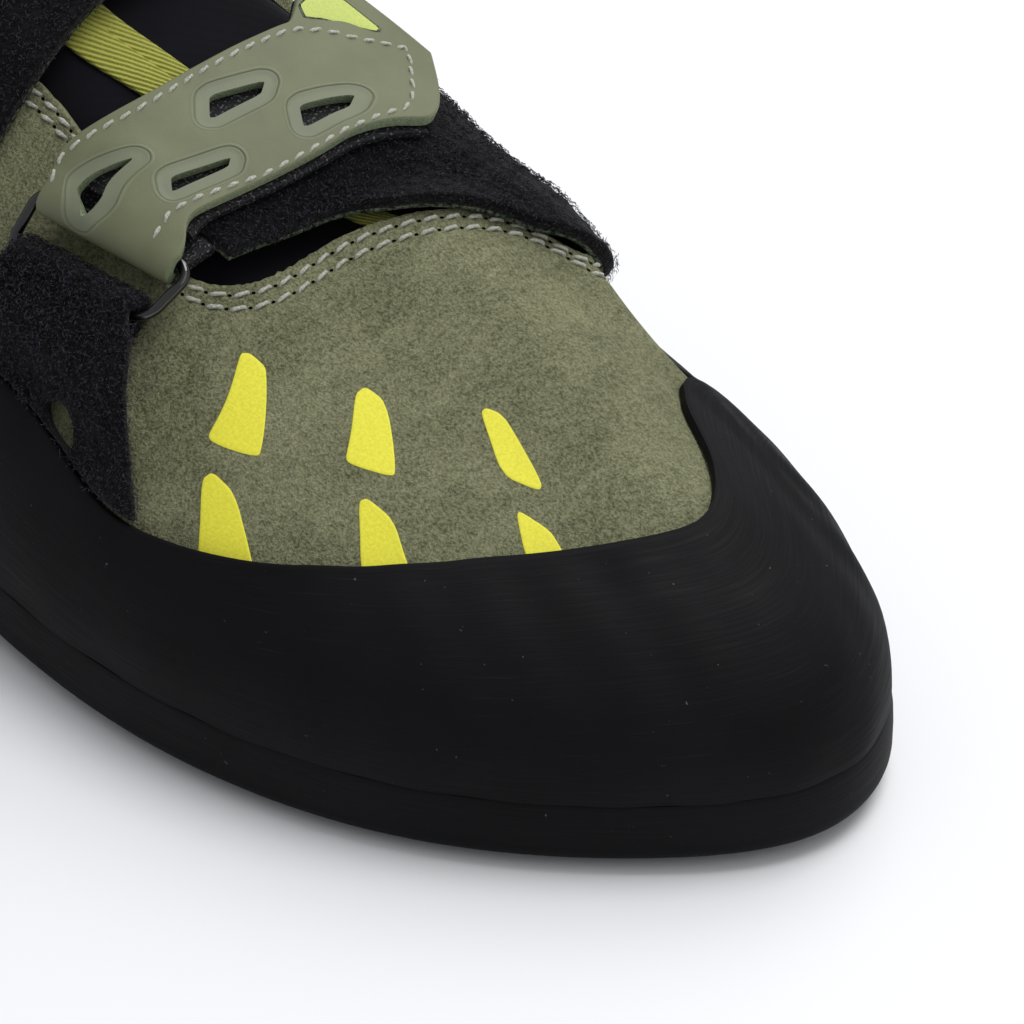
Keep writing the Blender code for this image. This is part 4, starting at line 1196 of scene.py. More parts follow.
def satin_strap_leather(colours):
    """Corrected-grain strap leather, satin, with pores under 0.3 mm; the border pressed round each
    window is greyer, and a fine groove ends it: painted shade darkens the groove and a painted
    highlight makes the rim beside it paler."""
    material, tree, shader = start_material("satin_strap_leather", 0.55, 0.28)
    pore = object_noise(tree, 0.00030, 3.0, 0.6)
    cloud = object_noise(tree, 0.006, 3.0)
    reach = add(tree, "ShaderNodeAttribute", {"attribute_name": "window_reach"}).outputs["Fac"]
    # Masks of the fine groove, which gets painted shade, and of the rim beside it, which gets a
    # painted highlight
    groove = ridge(tree, reach, 0.98, 0.09)
    rim = ridge(tree, reach, 1.15, 0.16)
    base = tinted(tree, cloud, 0.3, 0.7, colour4(colours.leather, 0.92),
                  colour4(colours.leather, 1.08))
    base = overlaid(tree, base, pore, 0.62, 0.75, 0.30, colour4(colours.leather, 0.72))
    base = overlaid(tree, base, reach, 1.04, 0.92, 0.45, colour4(colours.pressed))
    # Painted highlight: a paler line along the rim outside the groove
    base = overlaid(tree, base, rim, 0.0, 1.0, 0.22, colour4(colours.pressed, 1.5))
    # Painted shade: the groove darkened in colour
    base = overlaid(tree, base, groove, 0.0, 1.0, 0.30, colour4(colours.leather, 0.45))
    tree.links.new(base, shader.inputs["Base Color"])
    raised = add(tree, "ShaderNodeMath", {"operation": "SUBTRACT"}, {0: rim, 1: groove})
    relief(tree, shader, (raised.outputs[0], 0.00010, 0.8), (pore, 0.00006, 0.5))
    return material


def knife_cut_leather(colours):
    """Knife-cut edge of the strap leather: paler, with loose fibres."""
    material, tree, shader = start_material("knife_cut_leather", 0.9, 0.15)
    fibre = object_noise(tree, 0.00035, 3.0, 0.7)
    shade(tree, shader, fibre, 0.35, 0.65, colours.leather_edge, 0.55, 1.1)
    relief(tree, shader, (fibre, 0.00012, 0.7))
    return material


def band_backing(colours):
    """Coated backing of the loop bands, knife cut: grey-green with dark fibre ends."""
    material, tree, shader = start_material("band_backing", 0.85, 0.15)
    fibre = object_noise(tree, 0.0005, 3.0, 0.7)
    base = tinted(tree, fibre, 0.40, 0.62, colour4(colours.pile), colour4(colours.backing))
    tree.links.new(base, shader.inputs["Base Color"])
    relief(tree, shader, (fibre, 0.00015, 0.7))
    return material


def brushed_loop_pile(colours):
    """Brushed polyamide loop fabric: a dense, matt black pile."""
    material, tree, shader = start_material("brushed_loop_pile", 0.95, 0.12, **{
        "Sheen Weight": 0.10, "Sheen Roughness": 0.5})
    tuft = object_noise(tree, 0.0007, 3.0, 0.7)
    shade(tree, shader, tuft, 0.4, 0.7, colours.pile, 0.6, 1.8)
    relief(tree, shader, (tuft, 0.0005, 0.9))
    return material


def polyamide_filament_painted_sheen(colours):
    """Single polyamide filaments of the pile, coloured lighter than the black ground as painted
    sheen for the little light they catch.
    """
    material, tree, shader = start_material("polyamide_filament_painted_sheen", 0.7, 0.15)
    tint = object_noise(tree, 0.0004, 1.0)
    # Painted sheen: filaments spread by noise between near black and a light grey
    shade(tree, shader, tint, 0.45, 0.62, colours.filament, 0.04, 1.5)
    return material


def woven_hook_tape(colours):
    """Woven hook tape: black ground whose filaments show as grey flecks about 0.4 mm apart."""
    material, tree, shader = start_material("woven_hook_tape", 0.7, 0.3)
    fleck = object_noise(tree, 0.00042, 1.0, source="UV")
    base = overlaid(tree, colour4(colours.hook), fleck, 0.56, 0.72, 0.85,
                    colour4(colours.hook_fleck))
    tree.links.new(base, shader.inputs["Base Color"])
    relief(tree, shader, (fleck, 0.0003, 1.0))
    return material


def knitted_tongue_cloth(colours):
    """Dark knitted tongue cloth, smooth, with courses about 0.5 mm apart."""
    material, tree, shader = start_material("knitted_tongue_cloth", 0.85, 0.12, **{
        "Sheen Weight": 0.03, "Sheen Roughness": 0.4})
    place = add(tree, "ShaderNodeTexCoord")
    course = add(tree, "ShaderNodeTexWave", {"bands_direction": "DIAGONAL"}, {
        "Vector": place.outputs["UV"], "Scale": 1 / 0.0005 / 6.28, "Distortion": 0.8,
        "Detail": 1.0})
    cloud = object_noise(tree, 0.009, 3.0)
    shade(tree, shader, cloud, 0.3, 0.7, colours.tongue, 0.75, 1.25)
    relief(tree, shader, (course.outputs["Fac"], 0.00006, 0.4))
    return material


def woven_twill_tape(colours):
    """Cotton twill tape: diagonal ribs 0.75 mm apart, each of twisted yarn, with painted shade in
    the furrows.
    """
    material, tree, shader = start_material("woven_twill_tape", 0.85, 0.2, **{
        "Sheen Weight": 0.1, "Sheen Roughness": 0.5})
    place = add(tree, "ShaderNodeTexCoord")
    turned = add(tree, "ShaderNodeMapping", inputs={"Vector": place.outputs["UV"],
                                                   "Rotation": (0.0, 0.0, math.radians(70))})
    rib = add(tree, "ShaderNodeTexWave", {"bands_direction": "X"}, {
        "Vector": turned.outputs[0], "Scale": math.pi / 10 / 0.00075, "Distortion": 0.6,
        "Detail": 2.0, "Detail Scale": 2.0})
    yarn = object_noise(tree, 0.00025, 2.0, 0.6, (1.0, 3.0, 1.0), "UV")
    # Painted shade: darker colour in the furrows between the ribs
    base = tinted(tree, rib.outputs["Fac"], 0.05, 0.6, colour4(colours.tape_shade),
                  colour4(colours.tape))
    base = overlaid(tree, base, yarn, 0.5, 0.75, 0.35, colour4(colours.tape, 1.35))
    tree.links.new(base, shader.inputs["Base Color"])
    relief(tree, shader, (rib.outputs["Fac"], 0.00022, 0.9), (yarn, 0.0001, 0.5))
    return material


def printed_ink(name, colour):
    """Screen-printed ink, two passes, that lets the nap under it show faintly."""
    material, tree, shader = start_material(name, 0.6, 0.25)
    nap = object_noise(tree, 0.00040, 3.0, 0.6)
    shade(tree, shader, nap, 0.30, 0.70, colour, 0.88, 1.04)
    relief(tree, shader, (nap, 0.0001, 0.5))
    return material


def yellow_screen_print(colours):
    """Yellow ink of the prints on the suede."""
    return printed_ink("yellow_screen_print", colours.ink)


def lime_moulded_film(colours):
    """Lime film of the bare panel on the strap tip."""
    return printed_ink("lime_moulded_film", colours.lime)


def bonded_thread(colours):
    """Bonded polyester thread of two plies."""
    material, tree, shader = start_material("bonded_thread", 0.6, 0.3)
    ply = object_noise(tree, 0.00025, 2.0, 0.6)
    shade(tree, shader, ply, 0.35, 0.65, colours.thread, 0.62, 1.12)
    relief(tree, shader, (ply, 0.00008, 0.7))
    return material


def needle_hole_painted_shade(colours):
    """Painted shade: dark lens that stands for the inside of a needle hole, where hardly any light
    comes back.
    """
    material, tree, shader = start_material("needle_hole_painted_shade", 1.0, 0.0)
    fibre = object_noise(tree, 0.0005, 1.0)
    # Painted shade: near-black colour of the lens
    shade(tree, shader, fibre, 0.0, 1.0, colours.pile, 0.5, 1.5)
    return material


def black_lacquered_wire(colours):
    """Steel wire dipped in black lacquer: a smooth gloss over slight waves."""
    material, tree, shader = start_material("black_lacquered_wire", 0.16, 0.6, **{
        "Coat Weight": 0.6, "Coat Roughness": 0.08})
    wave = object_noise(tree, 0.002, 2.0)
    shade(tree, shader, wave, 0.0, 1.0, colours.enamel, 0.7, 1.5)
    relief(tree, shader, (wave, 0.00008, 0.4))
    return material


def needled_felt(colours):
    """Needled felt of the footbed, flecked."""
    material, tree, shader = start_material("needled_felt", 0.95, 0.1)
    fleck = object_noise(tree, 0.0006, 3.0, 0.7)
    shade(tree, shader, fleck, 0.35, 0.65, colours.felt, 0.6, 1.2)
    relief(tree, shader, (fleck, 0.0003, 0.7))
    return material


def matt_studio_paper(colours):
    """Seamless studio paper, matt and even."""
    material, tree, shader = start_material("matt_studio_paper", 0.95, 0.1)
    cloud = object_noise(tree, 0.3, 2.0)
    shade(tree, shader, cloud, 0.0, 1.0, colours.floor, 0.985, 1.0)
    return material


def ease(value):
    """Smooth step from 0 to 1."""
    value = np.clip(value, 0.0, 1.0)
    return value * value * (3 - 2 * value)


def outline_ring(places, offset, drop):
    """Foot outline moved outwards and lowered from the seat line."""
    points = layer(places, np.zeros(len(places)), np.full(len(places), offset))
    points[:, 2] = seat(places) - drop
    return points


def fill_outline(points, faces, start, count, dish, floor=None):
    """Fills a ring of points with rungs across it; dish gives the drop at a distance inwards."""
    half = count // 2
    shares = (1 - np.cos(np.linspace(0, math.pi, 21))) / 2
    lines = []
    for i in range(1, half):
        left = points[start + i]
        right = points[start + count - i]
        across = np.linalg.norm(right - left)
        line = [start + i]
        for share in shares[1:-1]:
            point = left + (right - left) * share
            point[2] -= dish(min(share, 1 - share) * across)
            if floor is not None:
                point[2] = max(point[2], floor)
            line.append(len(points))
            points.append(point)
        lines.append(line + [start + count - i])
    for near, far in zip(lines, lines[1:]):
        faces += [(near[j], far[j], far[j + 1], near[j + 1]) for j in range(len(near) - 1)]
    for tip, line in ((start, lines[0]), (start + half, lines[-1])):
        faces += [(tip, line[j], line[j + 1]) for j in range(len(line) - 1)]


def plate(name, profile, lower_dish, upper_dish, floor=None, count=360):
    """Solid from stacked outlines (out, drop), closed below and above by dished sheets."""
    places = np.linspace(0, ROWS, count, endpoint=False)
    points = []
    for out, drop in profile:
        points += list(outline_ring(places, out, drop))
    faces = ring_faces(0, len(profile) - 1, count)
    fill_outline(points, faces, 0, count, lower_dish, floor)
    fill_outline(points, faces, (len(profile) - 1) * count, count, upper_dish)
    item = mesh_item(name, np.array(points), faces)
    close_up(item)
    return item


def flat_uv(item):
    """Lengthwise UV map in metres for pieces made of stacked outlines."""
    mesh = item.data
    spots = flat_places(item)
    middle = np.array([0.5 * LENGTH - HEEL_BACK, 0.0])
    angle = np.arctan2(spots[:, 1] - middle[1], spots[:, 0] - middle[0])
    run = angle * ROUND_RADIUS
    side = spots[:, 2]
    corners = corner_points(mesh)
    normals = np.array([face.normal.z for face in mesh.polygons])
    face_of = np.repeat(np.arange(len(mesh.polygons)),
                        [face.loop_total for face in mesh.polygons])
    flat = np.abs(normals[face_of]) > 0.7
    uv = np.stack([np.where(flat, spots[corners, 0], run[corners]),
                   np.where(flat, spots[corners, 1], side[corners])], 1)
    mesh.uv_layers.new(name="flat").data.foreach_set("uv", uv.ravel())


def arc_profile(radius, steps):
    """Quarter round from the level underside up into the wall: (inwards, up)."""
    return [(radius * (1 - math.sin(a)), radius * (1 - math.cos(a)))
            for a in np.linspace(0, math.pi / 2, steps)]


class SHOE_OT_sole(bpy.types.Operator):
    """Smooth rubber sole with its ground edge, and the felt insole on it"""

    bl_idname = "shoe.sole"
    bl_label = "Sole and insole"

    def execute(self, context):
        sizes, colours = context.scene.shoe_sizes, context.scene.shoe_colours
        wall = MARGIN + 0.0004
        profile = [(wall - inward, GAP + SOLE_EDGE - up)
                   for inward, up in arc_profile(SOLE_ROUNDING, 9)]
        profile += [(wall, GAP + 0.45 * SOLE_EDGE), (MARGIN + 0.0003, GAP + 0.22 * SOLE_EDGE),
                    (MARGIN + 0.0001, sizes.seam + 0.0007), (MARGIN, sizes.seam + 0.0002),
                    (MARGIN - 0.00012, sizes.seam), (MARGIN - 0.0010, sizes.seam + 0.0001),
                    (-2 * GAP, GAP)]
        dish = SOLE_EDGE - SOLE_SHEET + SOLE_CROWN
        sole = plate("rubber_sole", profile, lambda depth: SOLE_CROWN * ease(depth / CROWN_WIDTH),
                     lambda depth: dish * ease(depth / DISH_WIDTH), floor=0.0)
        flat_uv(sole)
        dress(sole, [finish(ground_rubber, colours)], "rubber", "outsole", smooth=50)
        rim = -INSOLE_INSET
        profile = [(rim, -GAP), (rim - 0.2 * INSOLE_TAPER, -GAP - 0.4 * INSOLE_SHEET),
                   (rim - INSOLE_TAPER, -GAP - 0.85 * INSOLE_SHEET),
                   (rim - 2.5 * INSOLE_TAPER, -GAP - INSOLE_SHEET)]
        insole = plate("felt_insole", profile,
                       lambda depth: dish * ease((depth + INSOLE_TAPER / 2) / DISH_WIDTH),
                       lambda depth: dish * ease(depth / DISH_WIDTH))
        dress(insole, [finish(needled_felt, colours)], "footbed_felt", "insole", smooth=50)
        return {"FINISHED"}


class SHOE_OT_upper(bpy.types.Operator):
    """Suede upper with its creases, raw edges, yellow prints and throat stitching"""

    bl_idname = "shoe.upper"
    bl_label = "Upper"

    def execute(self, context):
        sizes, colours = context.scene.shoe_sizes, context.scene.shoe_colours
        places = np.linspace(0, ROWS, 396, endpoint=False)
        levels = np.concatenate([np.linspace(0, 0.90, 52)[:-1], np.linspace(0.90, 1.0, 21)])
        grid_u, grid_h = np.meshgrid(places, levels, indexing="ij")
        ditch = sum(np.exp(-((edge_level(grid_u, row) - grid_h) / STITCH_DITCH_SHARE)**2)
                    for row in (sizes.row_one, sizes.row_two))
        outer = suede_skin(grid_u, grid_h, -STITCH_DITCH * ditch)
        top = np.ones(len(places))
        edge, out = form_point(places, top), form_normal(places, top)
        rise = unit(edge - form_point(places, 0.985 * top))
        wave = ripple(places * RING_STEP, places * 0.0, 0.0016, 5)
        ragged = EDGE_RAGGED * wave[:, None] * rise
        rim = [edge + out * offset + rise * high + ragged for offset, high in RAW_EDGE]
        inner = form_point(grid_u, grid_h)[:, ::-3]
        upper = net("suede_upper", np.concatenate([outer, np.stack(rim, 1), inner], 1), ring=True,
                    loop=True)
        close_up(upper)
        dress(upper, [finish(brushed_suede, colours), finish(tanned_flesh_side, colours)], "suede",
              "upper", smooth=60)
        first_inner = len(levels) + len(rim)
        self.mark_inside(upper, first_inner, first_inner + inner.shape[1])
        for number, corners in enumerate(PRINTS):
            ink = self.print_patch(f"yellow_print_{number + 1}", corners, sizes.ink)
            dress(ink, [finish(yellow_screen_print, colours)], None, smooth=60)
        u = np.linspace(0, ROWS, 3000)
        rows = []
        for distance in (sizes.row_one, sizes.row_two):
            h = edge_level(u, distance)
            rows.append(Line(suede_skin(u, h, -STITCH_SUNK), form_normal(u, h)))
        sew("throat_stitching", rows, sizes.stitch_pitch, sizes.thread, 0.74, 0.00045, colours)
        return {"FINISHED"}

    def mark_inside(self, upper, first_inner, columns):
        """The inside face shows the flesh side of the hide."""
        for number, face in enumerate(upper.data.polygons):
            if number % columns >= first_inner:
                face.material_index = 1

    def print_patch(self, name, corners, ink):
        """Thin ink film of a rounded outline that follows the suede."""
        outline = corner_cut(corners, 2, 0.18)
        outline = np.concatenate([p + (q - p) * np.linspace(0, 1, 4, endpoint=False)[:, None]
                                  for p, q in zip(outline, np.roll(outline, -1, 0))])
        middle = outline.mean(0)
        rings = [(1.0, -FILM_SUNK), (1.0, ink * 0.6), (0.985, ink)]
        rings += [(share, ink) for share in (0.9, 0.75, 0.6, 0.45, 0.3, 0.15)]
        loops = [suede_skin(*(middle + (outline - middle) * share).T, lift)
                 for share, lift in rings]
        crown, foot = [suede_skin(middle[:1], middle[1:], lift)[0] for lift in (ink, -FILM_SUNK)]
        return film(name, loops, crown, foot)


class SHOE_OT_rands(bpy.types.Operator):
    """Rubber rands round toe and heel, thick at the sole and thin at the lip"""

    bl_idname = "shoe.rands"
    bl_label = "Rubber rands"

    def execute(self, context):
        colours = context.scene.shoe_colours
        rubber = finish(ground_rubber, colours)
        slit = RAND_SLIT / RING_STEP
        spans = (
            ("toe_rand_rubber", "toe_rand", TOE_RAND_LIP, RAND_JOIN_OUTER, RAND_JOIN_INNER, 440),
            ("heel_rand_rubber", "heel_rand", HEEL_RAND_LIP, RAND_JOIN_INNER + slit,
             ROWS + RAND_JOIN_OUTER - slit, 300),
        )
        for name, node, lip, start, end, rows in spans:
            places = np.linspace(start, end, rows)
            tops = rounded_at(lip, places, 0.10)
            share = np.concatenate([np.linspace(0, 0.96, 34), np.linspace(0.97, 1.0, 5)])
            h = tops[:, None] * share[None, :]
            u = np.repeat(places[:, None], len(share), 1)
            base = UPPER_WALL + GAP
            thick = RAND_FOOT + (RAND_LIP - RAND_FOOT) * share**3
            thick[-3:] *= RAND_LIP_ROUND
            wave = RAND_WAVE * ripple(u * RING_STEP, h * WALL_RISE, 0.014, 3)
            outer = layer(u, h, base + thick + wave * np.minimum(1, (1 - share) / 0.05))
            inner = layer(u, h, np.full_like(u, base))[:, ::-2]
            item = net(name, np.concatenate([outer, inner], 1), loop=True, caps=True)
            close_up(item)
            dress(item, [rubber], "rubber", node, smooth=50)
        return {"FINISHED"}


class SHOE_OT_tongue(bpy.types.Operator):
    """Padded tongue and the two strands of twill tape on it"""

    bl_idname = "shoe.tongue"
    bl_label = "Tongue"

    def execute(self, context):
        colours = context.scene.shoe_colours
        track = self.tongue_track()
        tongue = blank("padded_tongue", track.length, track.width, TONGUE_SHEET, 0.0012, 0.0007)
        lay(tongue, track, lambda flat: self.padding(flat, track))
        dress(tongue, [finish(knitted_tongue_cloth, colours)], "tongue_cloth", "tongue", smooth=60)
        for number, (width, lift, line) in enumerate(TAPE_STRANDS):
            strand = self.tape_track(width, lift, line)
            tape = blank(f"twill_tape_{number + 1}", strand.length, strand.width, TAPE_SHEET,
                         0.0006, 0.0002)
            lay(tape, strand,
                lambda flat: TAPE_SWELL * (1 - (2 * flat[:, 1] / strand.width - 1)**2))
            dress(tape, [finish(woven_twill_tape, colours)], "lime_tape", "tongue_tape", smooth=60)
        return {"FINISHED"}

    def tongue_track(self):
        """Tongue under the throat edges, its top rising freely and narrowing."""
        places = np.linspace(TONGUE[0][0], TONGUE[-1][0], 16)
        count = len(places)
        points = np.zeros((count + len(TONGUE_TOP), 9, 3))
        normals = np.zeros_like(points)
        for i, x in enumerate(places):
            turns = np.linspace(table_at(TONGUE, x, 1), table_at(TONGUE, x, 2), 9)
            for j, turn in enumerate(turns):
                points[i, j], normals[i, j] = COVER.at(x, turn, -TONGUE_DROP - TONGUE_SHEET / 2)
        row = points[count - 1]
        centre = row.mean(0)
        way = unit(unit(centre - points[count - 3].mean(0)) + np.array(TONGUE_LEAN))
        side = unit(row[-1] - row[0])
        for i, (rise, width) in enumerate(TONGUE_TOP):
            points[count + i] = centre + (row - centre) * width + way * rise * TONGUE_RISE
            normals[count + i] = 0.5 * normals[count - 1] + 0.5 * np.cross(side, way)
        return Track(points, normals)

    def padding(self, flat, track):
        """Soft swell between the edges, slightly uneven, on the outer face only."""
        across = np.clip(flat[:, 1] / track.width, 0, 1)
        swell = (TONGUE_SWELL * np.sin(math.pi * across)**0.5
                 + TONGUE_UNEVEN * ripple(flat[:, 0], flat[:, 1], 0.013, 8))
        return np.where(flat[:, 2] > 0, swell, 0.0)

    def tape_track(self, width, lift, line):
        """Narrow strip over the tongue along its middle line."""
        places = np.linspace(line[0][0], line[-1][0], 15)
        points = []
        normals = []
        for x in places:
            middle = np.interp(x, [row[0] for row in line], [row[1] for row in line])
            half = math.degrees(width / 2 / FOOT_RADIUS)
            row = [COVER.at(x, middle + side * half, lift - TONGUE_DROP) for side in (-1, 0, 1)]
            points.append([spot for spot, _ in row])
            normals.append([normal for _, normal in row])
        return Track(points, normals)


class StrapMaker:
    """Shared steps of the front and the rear strap."""

    def band(self, name, table, node, seed, sizes, colours):
        """Loop-faced band on a thin green backing whose cut edge shows."""
        track = Track(*strap_grid(table, 15, 6, level(BAND_LOW + BACKING_SHEET / 2)))
        backing = blank(f"{name}_backing", track.length, track.width, BACKING_SHEET, 0.0012, 0.0002)
        lay(backing, track)
        dress(backing, [finish(band_backing, colours)], "loop_pile", smooth=50)
        face_sheet = BAND_SHEET - BACKING_SHEET
        track = Track(*strap_grid(table, 15, 6, level(BAND_HIGH - face_sheet / 2)))
        face = blank(f"{name}_band", track.length, track.width, face_sheet, 0.0006, 0.0004)
        lay(face, track, lambda flat: self.tufts(flat, seed))
        dress(face, [finish(brushed_loop_pile, colours)], "loop_pile", node, smooth=60)
        feet, ways = track_feet(track, face_sheet / 2, BAND_PILE, seed)
        pile(f"{name}_band_pile", feet, ways, seed + 1, sizes, colours)

    def tufts(self, flat, seed):
        """Uneven face of brushed pile."""
        rough = (0.00011 * ripple(flat[:, 0], flat[:, 1], 0.0022, seed)
                 + 0.00008 * ripple(flat[:, 0], flat[:, 1], 0.007, seed + 7))
        return np.where(flat[:, 2] > 0, rough, 0.0)

    def hook(self, name, table, node, span, colours):
        """Hook tape under the strap end, seen along its rim and through the windows."""
        rows = [cross_line(table, share) for share in np.linspace(*span, 12)]
        track = Track(*strap_grid(rows, 13, 6, level(HOOK_LOW + HOOK_SHEET / 2),
                                  beyond=HOOK_BEYOND))
        item = blank(f"{name}_hook_tape", track.length, track.width, HOOK_SHEET, 0.0006, 0.00025)
        lay(item, track, lambda flat: np.where(flat[:, 2] > 0, 0.00008 * ripple(
            flat[:, 0], flat[:, 1], 0.0014, 21), 0.0))
        dress(item, [finish(woven_hook_tape, colours)], "hook_tape", node, smooth=60)

    def end(self, name, table, patch, node, windows, sizes, colours):
        """Leather strap end: cut windows with pressed borders, folded round the ring bar."""
        grid = strap_grid(table, 14, 7, level(LEATHER_MIDDLE), -1)
        track = folded_track(table, patch, 0, grid, BAND_LOW + LEATHER_SHEET / 2, END_RADIUS,
                             LEATHER_SHEET, END_TAIL)
        outlines = []
        for corners in windows:
            outlines.append(corner_cut(self.find_all(track, corners), 2, 0.10))
        item = blank(f"{name}_end_leather", track.length, track.width, LEATHER_SHEET, 0.00042,
                     0.0003)
        cut_out(item, outlines)
        self.paint_faces(item, track.length - END_TAIL - 0.6 * math.pi * END_RADIUS)
        reach = self.window_reach(flat_places(item), outlines, sizes)
        measure = item.data.attributes.new("window_reach", "FLOAT", "POINT")
        measure.data.foreach_set("value", reach)
        lay(item, track, lambda flat: self.emboss(flat, outlines, sizes))
        dress(item, [finish(satin_strap_leather, colours), finish(knife_cut_leather, colours),
                     finish(woven_hook_tape, colours)], "strap_leather", node, smooth=40)
        return track

    def find_all(self, track, places):
        """Flat places on a strap end for places given by x share and degrees."""
        return [track.find(COVER.at(x, turn, LEATHER_MIDDLE)[0]) for x, turn in places]

    def paint_faces(self, item, dark_from):
        """Cut edges on the rims, black tape on the underside and round the end of the fold."""
        for face in item.data.polygons:
            if face.normal.z < -0.5 or (face.normal.z < 0.5 and face.center.x > dark_from):
                face.material_index = 2
            elif face.normal.z < 0.5:
                face.material_index = 1

    def window_reach(self, flat, outlines, sizes):
        """Distance from the nearest window in widths of its pressed border, 3 at the most."""
        reach = np.full(len(flat), 3.0)
        for outline in outlines:
            away, _ = outline_distance(flat[:, :2], outline)
            reach = np.minimum(reach, away / sizes.emboss_reach)
        return reach

    def emboss(self, flat, outlines, sizes):
        """Soft dip of the pressed border round each window, on the outer face."""
        share = 1 - ease(self.window_reach(flat, outlines, sizes) / 0.7 - 0.8)
        return np.where(flat[:, 2] > 0, -sizes.emboss_depth * share, 0.0)

    def perimeter(self, track, start, inset):
        """Corners of the stitch row on a plain strap end: up one side, round the tip and back."""
        stop = track.length - start
        far = track.width - inset
        return [(stop, inset), (inset, inset), (inset, far), (stop, far)]

    def seam(self, name, track, route, sizes, colours):
        """Stitch row on the outer face through flat places."""
        marks = []
        for p, q in zip(route, route[1:]):
            marks += [np.array(p) * (1 - t) + np.array(q) * t
                      for t in np.linspace(0, 1, 40, endpoint=False)]
        marks = np.array(marks)
        point, normal = track.frame(marks[:, 0], marks[:, 1])
        line = Line(point + normal * (LEATHER_SHEET / 2 - STRAP_STITCH_SUNK), normal)
        sew(name, [line], sizes.strap_pitch, sizes.thread * STRAP_THREAD_SHARE, 0.80, 0.00035,
            colours)

    def ring(self, name, patch, node, colours):
        """Rounded wire ring as a swept round section."""
        length = np.linalg.norm(patch.at(1, 0) - patch.at(0, 0))
        span = np.linalg.norm(patch.at(0.5, 1) - patch.at(0.5, 0))
        room = RING_ROOM / length
        corner = RING_CORNER_SHARE * span
        path = []
        for s_end, t_end, begin in ((1 + room, 0, 0.5), (1 + room, 1, 0.0), (-room, 1, -0.5),
                                    (-room, 0, -1.0)):
            s_middle = s_end - math.copysign(corner / length, s_end - 0.5)
            t_middle = t_end - math.copysign(corner / span, t_end - 0.5)
            for i in range(13):
                turn = math.pi * (begin - i / 24)
                path.append(patch.at(s_middle + corner / length * math.cos(turn),
                                     t_middle - corner / span * math.sin(turn)))
        curve = bpy.data.curves.new(name, "CURVE")
        curve.dimensions = "3D"
        curve.bevel_depth = RING_WIRE / 2
        curve.bevel_resolution = 6
        line = curve.splines.new("POLY")
        line.points.add(len(path) - 1)
        for spot, point in zip(line.points, path):
            spot.co = (*point, 1.0)
        line.use_cyclic_u = True
        item = bpy.data.objects.new(f"{name}_ring_wire", curve)
        bpy.context.scene.collection.objects.link(item)
        select_only(item)
        bpy.ops.object.convert(target="MESH")
        item = bpy.context.object
        close_up(item)
        dress(item, [finish(black_lacquered_wire, colours)], "ring_enamel", node, smooth=80)

    def tab(self, name, table, patch, node, seed, holes, foot, sizes, colours):
        """Loop-faced tab from the rand up over the lower ring bar, its end tucked under."""
        lift = 2 * TAB_RADIUS + TAB_SHEET
        middle = BAND_LOW + TAB_SHEET / 2
        grid = strap_grid(table, 12, 7,
                          lambda share: middle + lift * (1 - ease((share - 0.35) / 0.6)), -1, foot)
        track = folded_track(table, patch, 1, grid, middle, TAB_RADIUS, TAB_SHEET, TAB_TAIL)
        outlines = [corner_cut([track.find(COVER.at(x, turn, BAND_LOW)[0])
                                for x, turn in corners]) for corners in holes]
        item = blank(f"{name}_ring_tab_cloth", track.length, track.width, TAB_SHEET, 0.0006, 0.0003)
        cut_out(item, outlines)
        lay(item, track, lambda flat: self.tufts(flat, seed))
        dress(item, [finish(brushed_loop_pile, colours)], "loop_pile", node, smooth=60)
        feet, ways = track_feet(track, TAB_SHEET / 2, TAB_PILE, seed, outlines)
        pile(f"{name}_tab_pile", feet, ways, seed + 1, sizes, colours)


class SHOE_OT_front_strap(StrapMaker, bpy.types.Operator):
    """Front strap: band, hook tape, leather end with windows, ring and ring tab"""

    bl_idname = "shoe.front_strap"
    bl_label = "Front strap"

    def execute(self, context):
        sizes, colours = context.scene.shoe_sizes, context.scene.shoe_colours
        patch = RingSeat(FRONT_END, FRONT_TAB)
        self.band("front_strap", FRONT_BAND, "front_strap_band", 11, sizes, colours)
        self.hook("front_strap", FRONT_END, "front_strap_hook", (1 / 14, 13 / 14), colours)
        track = self.end("front_strap", FRONT_END, patch, "front_strap_end", WINDOWS, sizes,
                         colours)
        self.seam("front_strap_stitching", track, self.find_all(track, STRAP_SEAM), sizes, colours)
        self.panel(track, colours)
        self.ring("front_strap", patch, "front_ring", colours)
        self.tab("front", FRONT_TAB, patch, "front_ring_tab", 31, (TAB_HOLE,), FRONT_TAB_FOOT,
                 sizes, colours)
        return {"FINISHED"}

    def panel(self, track, colours):
        """Bare lime panel let into the tip."""
        flat = corner_cut(self.find_all(track, LIME_PANEL), 2, 0.10)
        centre = flat.mean(0)

        def lifted(places, lift):
            height = np.full(len(places), LEATHER_SHEET / 2 + lift)
            return track.at(places[:, 0], places[:, 1], height)

        top = 0.00014
        rings = [(1.05, -FILM_SUNK), (1.05, 0.00006), (0.97, 0.00010), (0.7, top), (0.4, top)]
        loops = [lifted(centre + (flat - centre) * share, lift) for share, lift in rings]
        crown, foot = [lifted(centre[None, :], lift)[0] for lift in (top, -FILM_SUNK)]
        item = film("lime_tip_panel", loops, crown, foot)
        for face in item.data.polygons:
            face.material_index = int(face.index < 2 * len(flat))
        dress(item, [finish(lime_moulded_film, colours), finish(band_backing, colours)], None,
              smooth=60)


